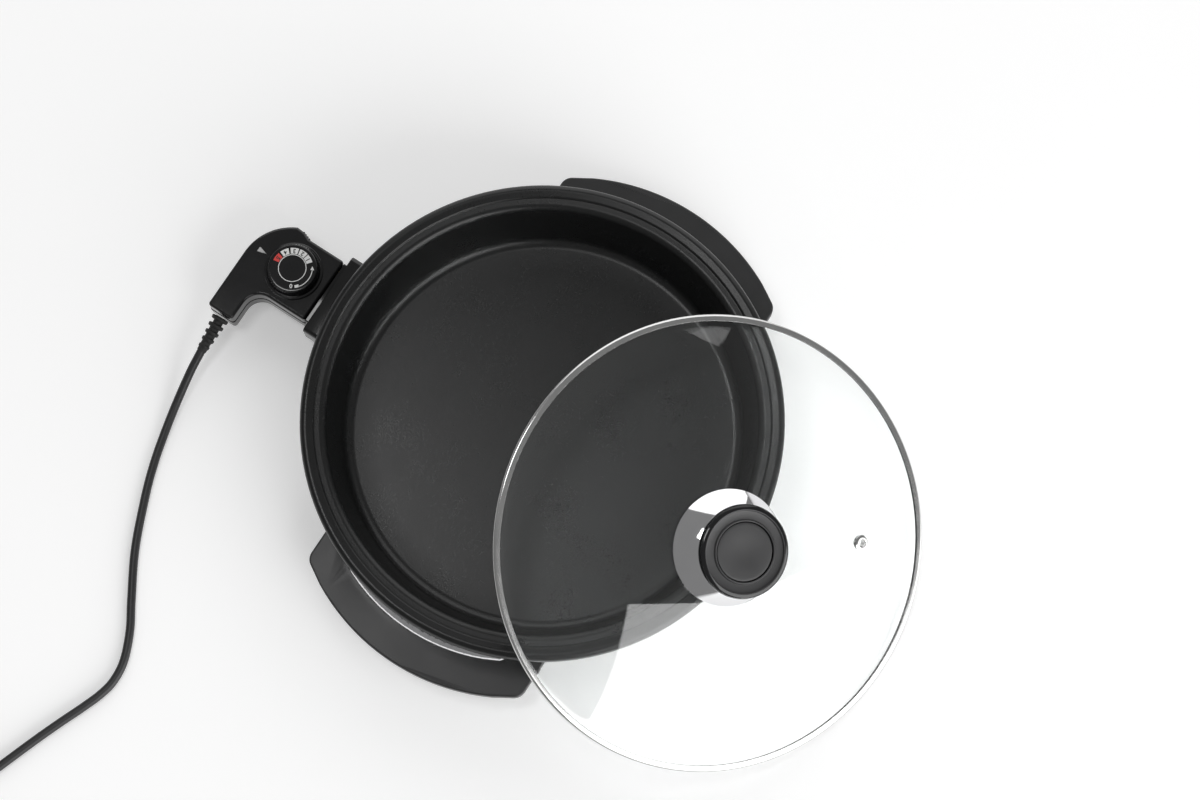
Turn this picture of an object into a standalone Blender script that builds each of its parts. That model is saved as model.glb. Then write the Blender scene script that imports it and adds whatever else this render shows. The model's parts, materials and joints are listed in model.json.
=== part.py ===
"""Electric party pan with a glass lid and a plug-in thermostat control.

Metres, +Z up, standing on z = 0.  X runs along the two handles, the control
plugs in from -Y, and the lid leans on the rim at +Y with its edge on the table.
Run with: blender --background --python part.py
"""
import math

import bmesh
import bpy
import numpy as np
from mathutils import Matrix, Vector

# ---- driving dimensions -----------------------------------------------------
PAN_Y = -0.0235            # the pan's axis, so that the whole object is centred
GAP = 0.0003               # between pieces that touch
FINE = 40                  # sides of the large turned pieces
MEDIUM = 28                # sides of knobs and dials
SMALL = 12                 # sides of screws and pins

RIM_R = 0.2000             # outermost edge of the pan's rolled rim
RIM_Z = 0.0980             # crown of the rim
FLOOR_R = 0.1600           # flat part of the pan's floor
FLOOR_Z = 0.0360           # cooking surface
FLOOR_T = 0.0040
WALL_TOP = 0.1775          # inner wall where it meets the ledge

ELEMENT_R = 0.1050
ELEMENT_TUBE = 0.0040
ELEMENT_Z = FLOOR_Z - FLOOR_T - GAP - ELEMENT_TUBE
TERMINAL_X = 0.0200
TERMINAL_Y = -0.1500       # where the element ends and its cold pins begin
PIN_R = 0.0025
PIN_END_Y = -0.2060
SOCKET_Y = -0.1340         # blind end of the sensor bore

HANDLE_REACH = 0.2315
HANDLE_ARC_R = 0.1865
HANDLE_HALF = 0.1070
HANDLE_INNER_R = 0.1775
HANDLE_Z = (0.0250, 0.0360)
HANDLE_BOSS_R = 0.1570
HANDLE_BOSS_ANGLE = math.radians(22)
HANDLE_CORNERS = (0.0110, 0.0030)     # rounding of the outer and inner corners
HANDLE_EDGE = 0.0018
BRACKET_INNER_R = 0.1770   # polished bracket between the handle and the pan's wall
BRACKET_ARC = (0.0400, 0.1635)        # centre and radius of its outer arc
BRACKET_HALF = 0.0808
BRACKET_TOP = 0.0600
BRACKET_ROUND = 0.0060
BRACKET_CORNER = 0.0080
TAB_Z = 0.0215             # underside of the tabs that reach under the pan
TAB_HALF = 0.0085
LEG_XY = (0.1850, 0.0850)
LEG_R = (0.0105, 0.0120)
PAD_T = 0.0030

SHROUD_X = 0.0385
SHROUD_Y = (-0.2200, -0.1790)
SHROUD_Z = (0.0130, 0.0415)
SHROUD_BOSS = (0.0340, -0.1580)
BOSS_Z = 0.0268            # underside of the pan's screw bosses
BOSS_R = 0.0065
SHANK_R = 0.0017           # screws into the pan, their tips and their clearance holes
SCREW_TIP = 0.0330
CLEARANCE_R = 0.0022

LID_R = 0.1892
LID_TILT = math.radians(23.3)
LID_BEARING = math.radians(87.2)
LID_OFFSET = 0.1737        # lid centre from the pan's axis
GLASS_T = 0.0036
GLASS_EDGE_R = 0.1878
DOME_R = 0.1810
DOME_H = 0.0340
DOME_POWER = 2.5
VENT_R = 0.1240
VENT_ANGLE = math.radians(37.6)
GRIP_R = 0.0383            # the lid's knob
GRIP_TOP = 0.0725          # knob above the lid's ring plane

DIAL_XY = (0.0, -0.2550)
CONTROL_Z = (0.0125, 0.0410)
CONTROL_SPLIT = 0.0263
CONTROL_WALL = 0.0025
CONTROL_HALF = 0.0310      # half the width of the control's body
CONTROL_FRONT = -0.2235
CONTROL_BACK = -0.3010
GRIP_INNER = -0.2753
GRIP_END_X = 0.0640
CORNER = (0.0080, -0.2535, 0.0475)    # centre and radius of the big rounded corner
PROBE_R = 0.0030
CONTROL_POSTS = ((-0.0240, -0.2450), (0.0240, -0.2450), (0.0545, -0.2880))

CORD_D = 0.0075
CORD_Z = CORD_D / 2 + 0.0001
RELIEF_ROOT = (GRIP_END_X + 0.0014, -0.2877, 0.0268)
RELIEF_TIP = (0.0985, -0.2862, 0.0222)
# The free lead, from the strain relief to the storage coil, relative to the pan's axis.
CORD_ROUTE = [
    (0.0992, -0.2862, 0.0220), (0.1180, -0.2850, 0.0168), (0.1486, -0.2810, 0.0078),
    (0.1793, -0.2744, CORD_Z), (0.2054, -0.2666, CORD_Z), (0.2303, -0.2571, CORD_Z),
    (0.2700, -0.2392, CORD_Z), (0.3067, -0.2172, CORD_Z), (0.3283, -0.2036, CORD_Z),
    (0.3518, -0.1932, CORD_Z), (0.3703, -0.1906, CORD_Z), (0.3850, -0.1930, CORD_Z),
    (0.4007, -0.1985, CORD_Z), (0.4238, -0.2080, CORD_Z), (0.4432, -0.2156, CORD_Z),
    (0.4640, -0.2232, CORD_Z), (0.4811, -0.2293, CORD_Z), (0.4965, -0.2349, CORD_Z),
]
COIL_CENTRE = (0.5070, -0.2873)
COIL_R = (0.0330, 0.0495)
COIL_Z = (0.0011, 0.0163)
TIE_ANGLE = math.radians(300)
TAIL_HEADING = math.radians(215.5)
TAIL_LENGTH = 0.0150
MAINS_R = 0.0185
MAINS_LENGTH = 0.0400
MAINS_TAIL = 0.0300

# ---- materials --------------------------------------------------------------
FINISHES = {
    "nonstick": ((0.016, 0.016, 0.017, 1), 0.45, 0.0),
    "phenolic": ((0.022, 0.022, 0.023, 1), 0.42, 0.0),
    "gloss_plastic": ((0.010, 0.010, 0.011, 1), 0.15, 0.0),
    "rubber": ((0.020, 0.020, 0.020, 1), 0.75, 0.0),
    "cord_rubber": ((0.045, 0.045, 0.045, 1), 0.55, 0.0),
    "stainless": ((0.62, 0.62, 0.62, 1), 0.22, 1.0),
    "chrome": ((0.80, 0.80, 0.81, 1), 0.06, 1.0),
    "screw_steel": ((0.45, 0.45, 0.46, 1), 0.35, 1.0),
    "brass": ((0.70, 0.52, 0.24, 1), 0.30, 1.0),
    "ceramic": ((0.80, 0.78, 0.72, 1), 0.40, 0.0),
    "element_steel": ((0.28, 0.28, 0.27, 1), 0.45, 1.0),
    "glass": ((0.90, 0.94, 0.93, 1), 0.03, 0.0),
    "silicone": ((0.10, 0.10, 0.10, 1), 0.60, 0.0),
    "lens": ((0.62, 0.62, 0.62, 1), 0.20, 0.0),
    "lamp": ((0.80, 0.35, 0.12, 1), 0.20, 0.0),
    "switch": ((0.35, 0.30, 0.22, 1), 0.55, 0.0),
}


def material(finish):
    """One Principled material for each finish, made when it is first wanted."""
    if finish in bpy.data.materials:
        return bpy.data.materials[finish]
    colour, roughness, metallic = FINISHES[finish]
    made = bpy.data.materials.new(finish)
    made.use_nodes = True
    shader = made.node_tree.nodes["Principled BSDF"]
    shader.inputs["Base Color"].default_value = colour
    shader.inputs["Roughness"].default_value = roughness
    shader.inputs["Metallic"].default_value = metallic
    return made


# ---- modelling helpers --------------------------------------------------------
def clear_scene():
    for thing in list(bpy.data.objects):
        bpy.data.objects.remove(thing, do_unlink=True)


def empty(name, place, turn=(0, 0, 0)):
    holder = bpy.data.objects.new(name, None)
    bpy.context.collection.objects.link(holder)
    holder.location = place
    holder.rotation_euler = turn
    return holder


def piece(name, shape, finish, parent=None, place=(0, 0, 0), turn=(0, 0, 0)):
    """An object from a bmesh, smooth where it is round, facing out."""
    bmesh.ops.remove_doubles(shape, verts=shape.verts, dist=1e-6)
    bmesh.ops.recalc_face_normals(shape, faces=shape.faces)
    mesh = bpy.data.meshes.new(name)
    shape.to_mesh(mesh)
    shape.free()
    mesh.shade_smooth()
    mesh.set_sharp_from_angle(angle=math.radians(35))
    made = bpy.data.objects.new(name, mesh)
    bpy.context.collection.objects.link(made)
    made.data.materials.append(material(finish))
    made.parent = parent
    made.location = place
    made.rotation_euler = turn
    return made


def arc(centre, radius, start, end, steps):
    """Points on an arc, angles in degrees."""
    angles = np.radians(np.linspace(start, end, steps + 1))
    return [(centre[0] + radius * math.cos(a), centre[1] + radius * math.sin(a)) for a in angles]


def rounded(corners, steps=4):
    """A closed outline from (x, y, radius) corners, each radius as an arc."""
    outline = []
    count = len(corners)
    for i, (x, y, radius) in enumerate(corners):
        here = Vector((x, y))
        if radius == 0:
            outline.append((x, y))
            continue
        before = Vector(corners[i - 1][:2]) - here
        after = Vector(corners[(i + 1) % count][:2]) - here
        half = before.angle(after) / 2
        reach = radius / math.tan(half)
        a = here + before.normalized() * reach
        b = here + after.normalized() * reach
        middle = (before.normalized() + after.normalized()).normalized()
        centre = here + middle * radius / math.sin(half)
        first = a - centre
        sweep = first.angle_signed(b - centre)
        for k in range(steps + 1):
            outline.append(tuple(centre + Matrix.Rotation(-sweep * k / steps, 2) @ first))
    return outline


def turned(profile, sides, closed=False):
    """Revolve an (r, z) profile about Z; a closed profile makes a ring."""
    shape = bmesh.new()
    rings = []
    for r, z in profile:
        if r < 1e-7:
            rings.append([shape.verts.new((0, 0, z))])
            continue
        angles = [2 * math.pi * k / sides for k in range(sides)]
        rings.append([shape.verts.new((r * math.cos(a), r * math.sin(a), z)) for a in angles])
    pairs = list(zip(rings, rings[1:]))
    if closed:
        pairs.append((rings[-1], rings[0]))
    for low, high in pairs:
        for k in range(sides):
            corners = [low[k % len(low)], low[(k + 1) % len(low)],
                       high[(k + 1) % len(high)], high[k % len(high)]]
            face = list(dict.fromkeys(corners))
            if len(face) > 2:
                shape.faces.new(face)
    return shape


def prism(outline, low, high):
    """An outline in XY, extruded from low to high."""
    shape = bmesh.new()
    bottom = shape.faces.new([shape.verts.new((x, y, low)) for x, y in outline])
    grown = bmesh.ops.extrude_face_region(shape, geom=[bottom])
    top = [v for v in grown["geom"] if isinstance(v, bmesh.types.BMVert)]
    bmesh.ops.translate(shape, vec=(0, 0, high - low), verts=top)
    return shape


def block(low, high):
    outline = [(low[0], low[1]), (high[0], low[1]), (high[0], high[1]), (low[0], high[1])]
    return prism(outline, low[2], high[2])


def rod(radius, low, high, sides=SMALL):
    return turned([(0, low), (radius, low), (radius, high), (0, high)], sides)


def moved(shape, matrix):
    bmesh.ops.transform(shape, matrix=matrix, verts=shape.verts)
    return shape


def along_y(shape, x, z):
    """A shape turned about +Z, laid along +Y at (x, z)."""
    return moved(shape, Matrix.Translation((x, 0, z)) @ Matrix.Rotation(math.radians(-90), 4, "X"))


def joined(shapes):
    """Several bodies in one bmesh, for use as one cutter."""
    whole = bmesh.new()
    for shape in shapes:
        scrap = bpy.data.meshes.new("scrap")
        bmesh.ops.recalc_face_normals(shape, faces=shape.faces)
        shape.to_mesh(scrap)
        shape.free()
        whole.from_mesh(scrap)
        bpy.data.meshes.remove(scrap)
    return whole


def combine(target, operation, name, shapes):
    """Cut shapes from the target, or weld them on, with a Boolean modifier."""
    tool = piece(name, joined(shapes), "screw_steel", target.parent)
    tool.hide_render = True
    tool.display_type = "WIRE"
    modifier = target.modifiers.new(name, "BOOLEAN")
    modifier.operation = operation
    modifier.object = tool
    modifier.solver = "EXACT"


def tube(name, points, radius, finish, parent, resolution=2):
    """A solid tube along points."""
    curve = bpy.data.curves.new(name, "CURVE")
    curve.dimensions = "3D"
    curve.bevel_depth = radius
    curve.bevel_resolution = resolution
    curve.use_fill_caps = True
    spline = curve.splines.new("POLY")
    spline.points.add(len(points) - 1)
    for spot, point in zip(spline.points, points):
        spot.co = (*point, 1)
    made = bpy.data.objects.new(name, curve)
    bpy.context.collection.objects.link(made)
    curve.materials.append(material(finish))
    made.parent = parent
    return made


def smooth_route(route, spacing):
    """Even points on a smooth curve through the route's own points."""
    knots = np.array(route)
    ends = np.vstack([2 * knots[0] - knots[1], knots, 2 * knots[-1] - knots[-2]])
    fine = []
    for p0, p1, p2, p3 in zip(ends, ends[1:], ends[2:], ends[3:]):
        for t in np.linspace(0, 1, 20, endpoint=False):
            fine.append(0.5 * (2 * p1 + (p2 - p0) * t + (2 * p0 - 5 * p1 + 4 * p2 - p3) * t ** 2
                               + (3 * p1 - p0 - 3 * p2 + p3) * t ** 3))
    fine = np.array(fine + [knots[-1]])
    fine[:, 2] = np.maximum(fine[:, 2], CORD_Z)
    run = np.concatenate([[0], np.cumsum(np.linalg.norm(np.diff(fine, axis=0), axis=1))])
    wanted = np.linspace(0, run[-1], max(2, round(run[-1] / spacing) + 1))
    return [tuple(np.interp(s, run, fine[:, k]) for k in range(3)) for s in wanted]


def screw(name, finish, parent, place, head, shank, head_low, head_high, tip, turn=(0, 0, 0)):
    """A pan-head screw pointing up its own Z."""
    profile = [(0, head_low), (head * 0.8, head_low), (head, head_low + (head_high - head_low) * 0.5),
               (head, head_high), (shank, head_high), (shank, tip), (0, tip)]
    return piece(name, turned(profile, SMALL), finish, parent, place, turn)


# ---- pan ----------------------------------------------------------------------
def pan_body(axis):
    inner = ([(0, FLOOR_Z)] + arc((FLOOR_R - 0.0005, FLOOR_Z + 0.0100), 0.0100, 270, 349, 3)
             + arc((0.1850, 0.0880), 0.0072, 170, 95, 3))
    step = [(0.1882, 0.0953), (0.1892, 0.0968)]
    crown = arc((0.1950, 0.0930), 0.0050, 112, 0, 5)
    lip = [(RIM_R, 0.0862), (0.1990, 0.0846), (0.1972, 0.0850), (0.1964, 0.0920)]
    outer = [(0.1900, 0.0918), (0.1828, 0.0880), (0.1806, 0.0840), (0.1728, 0.0430),
             (0.1700, 0.0355), (0.1635, 0.0320)]
    under = FLOOR_Z - FLOOR_T
    beads = [(0.1115, under), (0.1115, under - 0.0055), (0.1095, under - 0.0055), (0.1095, under),
             (0.1005, under), (0.1005, under - 0.0055), (0.0985, under - 0.0055), (0.0985, under)]
    profile = inner + step + crown + lip + outer + beads + [(0, under)]
    pan = piece("pan_body", turned(profile, FINE), "nonstick", axis)
    bosses = [moved(rod(BOSS_R, BOSS_Z, under + 0.0010), Matrix.Translation((x, y, 0)))
              for x, y in boss_places()]
    sensor = along_y(rod(0.0070, -0.1660, -0.1290, 20), 0, ELEMENT_Z)
    combine(pan, "UNION", "boss_stock", bosses + [sensor])
    holes = [moved(rod(0.0021, BOSS_Z - 0.002, FLOOR_Z - 0.0015), Matrix.Translation((x, y, 0)))
             for x, y in boss_places()]
    bore = along_y(rod(PROBE_R + 0.0004, -0.1700, SOCKET_Y, 20), 0, ELEMENT_Z)
    leg_gap = block((-0.0370, -0.1250, 0.0200), (0.0370, -0.1050, under - 0.0001))
    combine(pan, "DIFFERENCE", "bore_stock", holes + [bore, leg_gap])
    return pan


def boss_places():
    """Screw bosses under the floor: two for each handle, two for the inlet shroud."""
    reach = HANDLE_BOSS_R * math.cos(HANDLE_BOSS_ANGLE)
    spread = HANDLE_BOSS_R * math.sin(HANDLE_BOSS_ANGLE)
    places = [(side * reach, lift * spread) for side in (1, -1) for lift in (1, -1)]
    return places + [(SHROUD_BOSS[0], SHROUD_BOSS[1]), (-SHROUD_BOSS[0], SHROUD_BOSS[1])]


def heating_element(axis):
    """A nearly closed ring under the floor whose two ends turn out to the terminals."""
    bend = 0.0120
    bend_x = TERMINAL_X + bend
    bend_y = -math.sqrt((ELEMENT_R + bend) ** 2 - bend_x ** 2)
    meet = math.degrees(math.atan2(bend_y, bend_x))
    right = [(TERMINAL_X, TERMINAL_Y), (TERMINAL_X, -0.1320)]
    right += arc((bend_x, bend_y), bend, 180, 180 + meet, 5)[:-1]
    left = [(-x, y) for x, y in reversed(right)]
    ring = arc((0, 0), ELEMENT_R, meet, 180 - meet, 36)
    path = [(x, y, ELEMENT_Z) for x, y in right + ring + left]
    tube("heating_element", path, ELEMENT_TUBE, "element_steel", axis)


def terminals(axis):
    for side, x in (("left", -TERMINAL_X), ("right", TERMINAL_X)):
        pin = [(0, PIN_END_Y), (PIN_R * 0.5, PIN_END_Y), (PIN_R, PIN_END_Y + 0.0020),
               (PIN_R, TERMINAL_Y - GAP), (0, TERMINAL_Y - GAP)]
        piece("terminal_pin_" + side, along_y(turned(pin, SMALL), x, ELEMENT_Z), "screw_steel", axis)
        bush = [(0.0029, -0.1655), (0.0036, -0.1655), (0.0041, -0.1645), (0.0041, -0.1510),
                (0.0029, -0.1510)]
        shape = along_y(turned(bush, 20, closed=True), x, ELEMENT_Z)
        piece("terminal_insulator_" + side, shape, "ceramic", axis)


def inlet_shroud(axis):
    x, (y0, y1), (z0, z1) = SHROUD_X, SHROUD_Y, SHROUD_Z
    wall = 0.0030
    corner = 0.0040
    outline = rounded([(-x, z0, corner), (x, z0, corner), (x, z1, corner), (-x, z1, corner)])
    shell = moved(prism(outline, -y1, -y0), Matrix.Rotation(math.radians(90), 4, "X"))
    shroud = piece("inlet_shroud", shell, "phenolic", axis)
    tab_x = SHROUD_BOSS[0] - 0.0020
    tabs = [block((sx - 0.0065, -0.1505, 0.0235), (sx + 0.0065, y1 - 0.0010, BOSS_Z - GAP))
            for sx in (tab_x, -tab_x)]
    combine(shroud, "UNION", "shroud_tabs", tabs)
    mouth = block((-x + wall, y0 - 0.01, z0 + wall), (x - wall, y1 - wall, z1 - wall))
    passage = block((-0.0275, y0, 0.0195), (0.0275, y1 + 0.01, 0.0360))
    holes = [moved(rod(CLEARANCE_R, 0.0200, 0.0300), Matrix.Translation((sx, SHROUD_BOSS[1], 0)))
             for sx in (SHROUD_BOSS[0], -SHROUD_BOSS[0])]
    combine(shroud, "DIFFERENCE", "shroud_hollow", [mouth] + holes)
    combine(shroud, "DIFFERENCE", "shroud_passage", [passage])
    for side, sx in (("left", -SHROUD_BOSS[0]), ("right", SHROUD_BOSS[0])):
        screw("shroud_screw_" + side, "screw_steel", axis, (sx, SHROUD_BOSS[1], 0),
              0.0036, SHANK_R, 0.0206, 0.0232, SCREW_TIP)


# ---- handles and feet -----------------------------------------------------------
def crescent(centre, outer_r, inner_r, half, rounding):
    """An outline that follows the pan, in a frame with +X pointing outwards: an outer arc
    about (centre, 0), an inner one about the pan's axis, and a rounding for each pair of corners."""
    steps = 10
    outer_spread = math.degrees(math.asin(half / outer_r))
    inner_spread = math.degrees(math.asin(half / inner_r))
    outer = arc((centre, 0), outer_r, -outer_spread, outer_spread, steps)
    inner = arc((0, 0), inner_r, inner_spread, -inner_spread, steps)
    corners = []
    for side, radius in zip((outer, inner), rounding):
        corners += [(x, y, radius if k in (0, steps) else 0) for k, (x, y) in enumerate(side)]
    return rounded(corners, 3)


def handle_bracket(name, frame):
    """A low crescent on the handle's top, against the pan's wall, with a rounded upper edge."""
    centre, radius = BRACKET_ARC
    outline = crescent(centre, radius, BRACKET_INNER_R, BRACKET_HALF, (BRACKET_CORNER, 0))
    shape = prism(outline, HANDLE_Z[1] + GAP, BRACKET_TOP)
    upper = [e for e in shape.edges if all(v.co.z > BRACKET_TOP - GAP for v in e.verts)]
    outer = [e for e in upper if max(v.co.xy.length for v in e.verts) > BRACKET_INNER_R + GAP]
    bmesh.ops.bevel(shape, geom=outer, offset=BRACKET_ROUND, segments=3, profile=0.5, affect="EDGES")
    piece(name, shape, "chrome", frame)


def handles(axis):
    for side, turn in (("right", 0.0), ("left", math.pi)):
        frame = empty("handle_frame_" + side, (0, 0, 0), (0, 0, turn))
        frame.parent = axis
        handle_bracket("handle_bracket_" + side, frame)
        outline = crescent(HANDLE_REACH - HANDLE_ARC_R, HANDLE_ARC_R, HANDLE_INNER_R, HANDLE_HALF,
                           HANDLE_CORNERS)
        handle = piece("handle_" + side, prism(outline, *HANDLE_Z), "phenolic", frame)
        edge = handle.modifiers.new("edge", "BEVEL")
        edge.width = HANDLE_EDGE
        edge.segments = 1
        edge.limit_method = "ANGLE"
        edge.angle_limit = math.radians(60)
        tabs, legs = [], []
        leg_top = HANDLE_Z[0] + 0.0040
        for lift in (1, -1):
            tab = block((HANDLE_BOSS_R - TAB_HALF, -TAB_HALF, TAB_Z), (0.1950, TAB_HALF, BOSS_Z - GAP))
            tabs.append(moved(tab, Matrix.Rotation(lift * HANDLE_BOSS_ANGLE, 4, "Z")))
            leg = turned([(0, PAD_T), (LEG_R[0], PAD_T), (LEG_R[1], leg_top), (0, leg_top)], 20)
            legs.append(moved(leg, Matrix.Translation((LEG_XY[0], lift * LEG_XY[1], 0))))
        combine(handle, "UNION", "handle_tabs_" + side, tabs)
        combine(handle, "UNION", "handle_legs_" + side, legs)
        reach = HANDLE_BOSS_R * math.cos(HANDLE_BOSS_ANGLE)
        spread = HANDLE_BOSS_R * math.sin(HANDLE_BOSS_ANGLE)
        spots = [(reach, spread), (reach, -spread)]
        holes = [moved(rod(CLEARANCE_R, 0.0150, 0.0300), Matrix.Translation((x, y, 0))) for x, y in spots]
        combine(handle, "DIFFERENCE", "handle_holes_" + side, holes)
        for end, lift, (x, y) in (("front", 1, spots[0]), ("back", -1, spots[1])):
            screw(f"handle_screw_{side}_{end}", "screw_steel", frame, (x, y, 0),
                  0.0040, SHANK_R, 0.0184, 0.0212, SCREW_TIP)
            pad = [(0, 0), (LEG_R[0] - 0.0010, 0), (LEG_R[0], 0.0010), (LEG_R[0], PAD_T - GAP),
                   (0, PAD_T - GAP)]
            piece(f"foot_pad_{side}_{end}", turned(pad, 20), "rubber", frame,
                  (LEG_XY[0], lift * LEG_XY[1], 0))


# ---- lid ------------------------------------------------------------------------
RING_PROFILE = [(0.1838, 0.0026), (0.1880, 0.0026), (LID_R, 0.0014), (LID_R, -0.0014),
                (0.1880, -0.0026), (0.1838, -0.0026), (0.1838, -0.0021), (0.1882, -0.0021),
                (0.1882, 0.0021), (0.1838, 0.0021)]


def lid_height():
    """Height of the ring's centre when its lowest point is on the table."""
    return max(r * math.sin(LID_TILT) - z * math.cos(LID_TILT) for r, z in RING_PROFILE)


def dome(r):
    """Top of the glass above the ring plane."""
    if r >= DOME_R:
        return GLASS_T / 2
    return GLASS_T / 2 + (DOME_H - GLASS_T / 2) * (1 - (r / DOME_R) ** DOME_POWER)


def lid_glass(lid):
    radii = (GLASS_EDGE_R, DOME_R, 0.168, 0.148, VENT_R, 0.095, 0.050, 0.0040)
    top = [(r, dome(r)) for r in radii]
    profile = top + [(r, z - GLASS_T) for r, z in reversed(top)]
    glass = piece("lid_glass", turned(profile, FINE, closed=True), "glass", lid)
    combine(glass, "DIFFERENCE", "vent_bore", [moved(rod(0.0052, -0.01, 0.01), vent_matrix())])


def vent_matrix():
    """The vent's own frame: on the glass, its Z square to the sloping surface."""
    slope = (dome(VENT_R + 0.001) - dome(VENT_R - 0.001)) / 0.002
    place = Matrix.Translation((VENT_R, 0, dome(VENT_R)))
    lean = Matrix.Rotation(-math.atan(slope), 4, "Y")
    return Matrix.Rotation(VENT_ANGLE, 4, "Z") @ place @ lean


def vent_eyelet(lid):
    top, bottom = 0.0004, -GLASS_T - 0.0004
    profile = [(0.0029, top + 0.0006), (0.0048, top + 0.0010), (0.0068, top + 0.0002), (0.0068, top),
               (0.0047, top), (0.0047, bottom), (0.0062, bottom), (0.0060, bottom - 0.0006),
               (0.0029, bottom - 0.0006)]
    shape = moved(turned(profile, 20, closed=True), vent_matrix())
    piece("vent_eyelet", shape, "stainless", lid)


def knob(lid):
    skirt = [(0.0035, 0.0522), (0.0240, 0.0522), (0.0300, 0.0495), (0.0380, 0.0447), (0.0450, 0.0388),
             (0.0480, 0.0352), (0.0480, 0.0333), (0.0466, 0.0333), (0.0440, 0.0374), (0.0370, 0.0434),
             (0.0290, 0.0482), (0.0235, 0.0508), (0.0140, 0.0508), (0.0140, 0.0358), (0.0035, 0.0358)]
    piece("knob_skirt", turned(skirt, MEDIUM, closed=True), "chrome", lid)
    grip = [(0, 0.0660), (0.0024, 0.0660), (0.0024, 0.0525), (0.0280, 0.0525), (0.0310, 0.0555),
            (0.0365, 0.0625), (GRIP_R, 0.0670), (0.0378, 0.0702), (0.0362, 0.0720), (0.0346, GRIP_TOP),
            (0.0328, 0.0716), (0.0262, 0.0714), (0.0252, 0.0721), (0.0243, 0.0714), (0.0243, 0.0690),
            (0, 0.0690)]
    piece("knob_grip", turned(grip, MEDIUM), "phenolic", lid)
    cap = [(0, 0.0693), (0.0240, 0.0693), (0.0240, 0.0706), (0.0225, 0.0711), (0.0120, 0.0706),
           (0, 0.0704)]
    piece("knob_cap", turned(cap, MEDIUM), "gloss_plastic", lid)
    gasket = [(0.0045, 0.0343), (0.0140, 0.0343), (0.0140, 0.0355), (0.0045, 0.0355)]
    piece("knob_gasket", turned(gasket, 24, closed=True), "silicone", lid)
    washer = [(0.0024, 0.0290), (0.0082, 0.0290), (0.0082, 0.0300), (0.0024, 0.0300)]
    piece("knob_washer", turned(washer, 20, closed=True), "stainless", lid)
    screw("knob_screw", "screw_steel", lid, (0, 0, 0), 0.0045, 0.0020, 0.0262, 0.0287, 0.0645)


# ---- thermostat control -----------------------------------------------------------
def control_outline():
    """Body and side grip in one outline, seen from above."""
    x, y, r = CORNER
    corner = arc((x, y), r, 206, 270, 7)
    start = corner[0]
    fillet = 0.0150
    inner = arc((CONTROL_HALF + fillet, GRIP_INNER + fillet), fillet, 270, 180, 5)
    front = [(CONTROL_HALF, CONTROL_FRONT), (-CONTROL_HALF, CONTROL_FRONT), (-CONTROL_HALF, -0.2600)]
    end = rounded([(GRIP_END_X, CONTROL_BACK, 0.0030), (GRIP_END_X, GRIP_INNER, 0.0030),
                   (0, GRIP_INNER, 0), (0, CONTROL_BACK, 0)], 2)[:6]
    return front + [(start[0], start[1] + 0.0050)] + corner + end + inner


def shell(outline, low, high, open_top):
    """A tray with walls of one thickness, open above or below."""
    shape = prism(outline, low, high)
    bmesh.ops.recalc_face_normals(shape, faces=shape.faces)
    shape.faces.ensure_lookup_table()
    up = 1 if open_top else -1
    face = max(shape.faces, key=lambda f: f.normal.z * up)
    bmesh.ops.inset_region(shape, faces=[face], thickness=CONTROL_WALL, use_even_offset=True)
    pocket = bmesh.ops.extrude_face_region(shape, geom=[face])
    verts = [v for v in pocket["geom"] if isinstance(v, bmesh.types.BMVert)]
    bmesh.ops.translate(shape, vec=(0, 0, -up * (high - low - CONTROL_WALL)), verts=verts)
    bmesh.ops.delete(shape, geom=[face], context="FACES_ONLY")
    return shape


def front_bores(low, high):
    """Passages for the two contact sleeves and the probe, through the control's front."""
    bores = [along_y(rod(0.0049, low, high, 20), x, ELEMENT_Z) for x in (-TERMINAL_X, TERMINAL_X)]
    return bores + [along_y(rod(PROBE_R + 0.0004, low, high), 0, ELEMENT_Z)]


def control_housing(control):
    outline = control_outline()
    front = CONTROL_FRONT
    base = piece("control_base", shell(outline, CONTROL_Z[0], CONTROL_SPLIT - GAP / 2, True),
                 "gloss_plastic", control)
    nose = block((-0.0300, front + GAP, 0.0180), (0.0300, -0.1880, 0.0365))
    tongue = block((-0.0290, front - 0.0020, 0.0185), (0.0290, front + 0.0020, 0.0255))
    combine(base, "UNION", "nose_stock", [nose])
    combine(base, "UNION", "tongue_stock", [tongue])
    screw_holes = [moved(rod(0.0017, 0.0050, 0.0200), Matrix.Translation((x, y, 0)))
                   for x, y in CONTROL_POSTS]
    combine(base, "DIFFERENCE", "base_bores", front_bores(-0.2400, -0.1800) + screw_holes)

    cover = piece("control_cover", shell(outline, CONTROL_SPLIT + GAP / 2, CONTROL_Z[1], False),
                  "gloss_plastic", control)
    posts = [moved(rod(0.0036, 0.0156, CONTROL_Z[1] - 0.0010), Matrix.Translation((x, y, 0)))
             for x, y in CONTROL_POSTS]
    combine(cover, "UNION", "cover_posts", posts)
    pilots = [moved(rod(0.0015, 0.0100, 0.0330), Matrix.Translation((x, y, 0)))
              for x, y in CONTROL_POSTS]
    spindle = moved(rod(0.0045, 0.0350, 0.0500), Matrix.Translation((*DIAL_XY, 0)))
    window = prism(pointer_outline(0.0004), 0.0360, 0.0450)
    bores = front_bores(-0.2400, -0.2000) + pilots + [spindle, window]
    combine(cover, "DIFFERENCE", "cover_bores", bores)
    for label, (x, y) in zip(("left", "right", "grip"), CONTROL_POSTS):
        screw("control_screw_" + label, "screw_steel", control, (x, y, 0),
              0.0030, 0.0012, 0.0106, 0.0122, 0.0310)


def pointer_outline(grow):
    """The triangular window that points at the dial."""
    foot, half = -0.2915 - grow, 0.0024 + grow
    return [(0, -0.2830 + 2.0 * grow), (-half, foot), (half, foot)]


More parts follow.
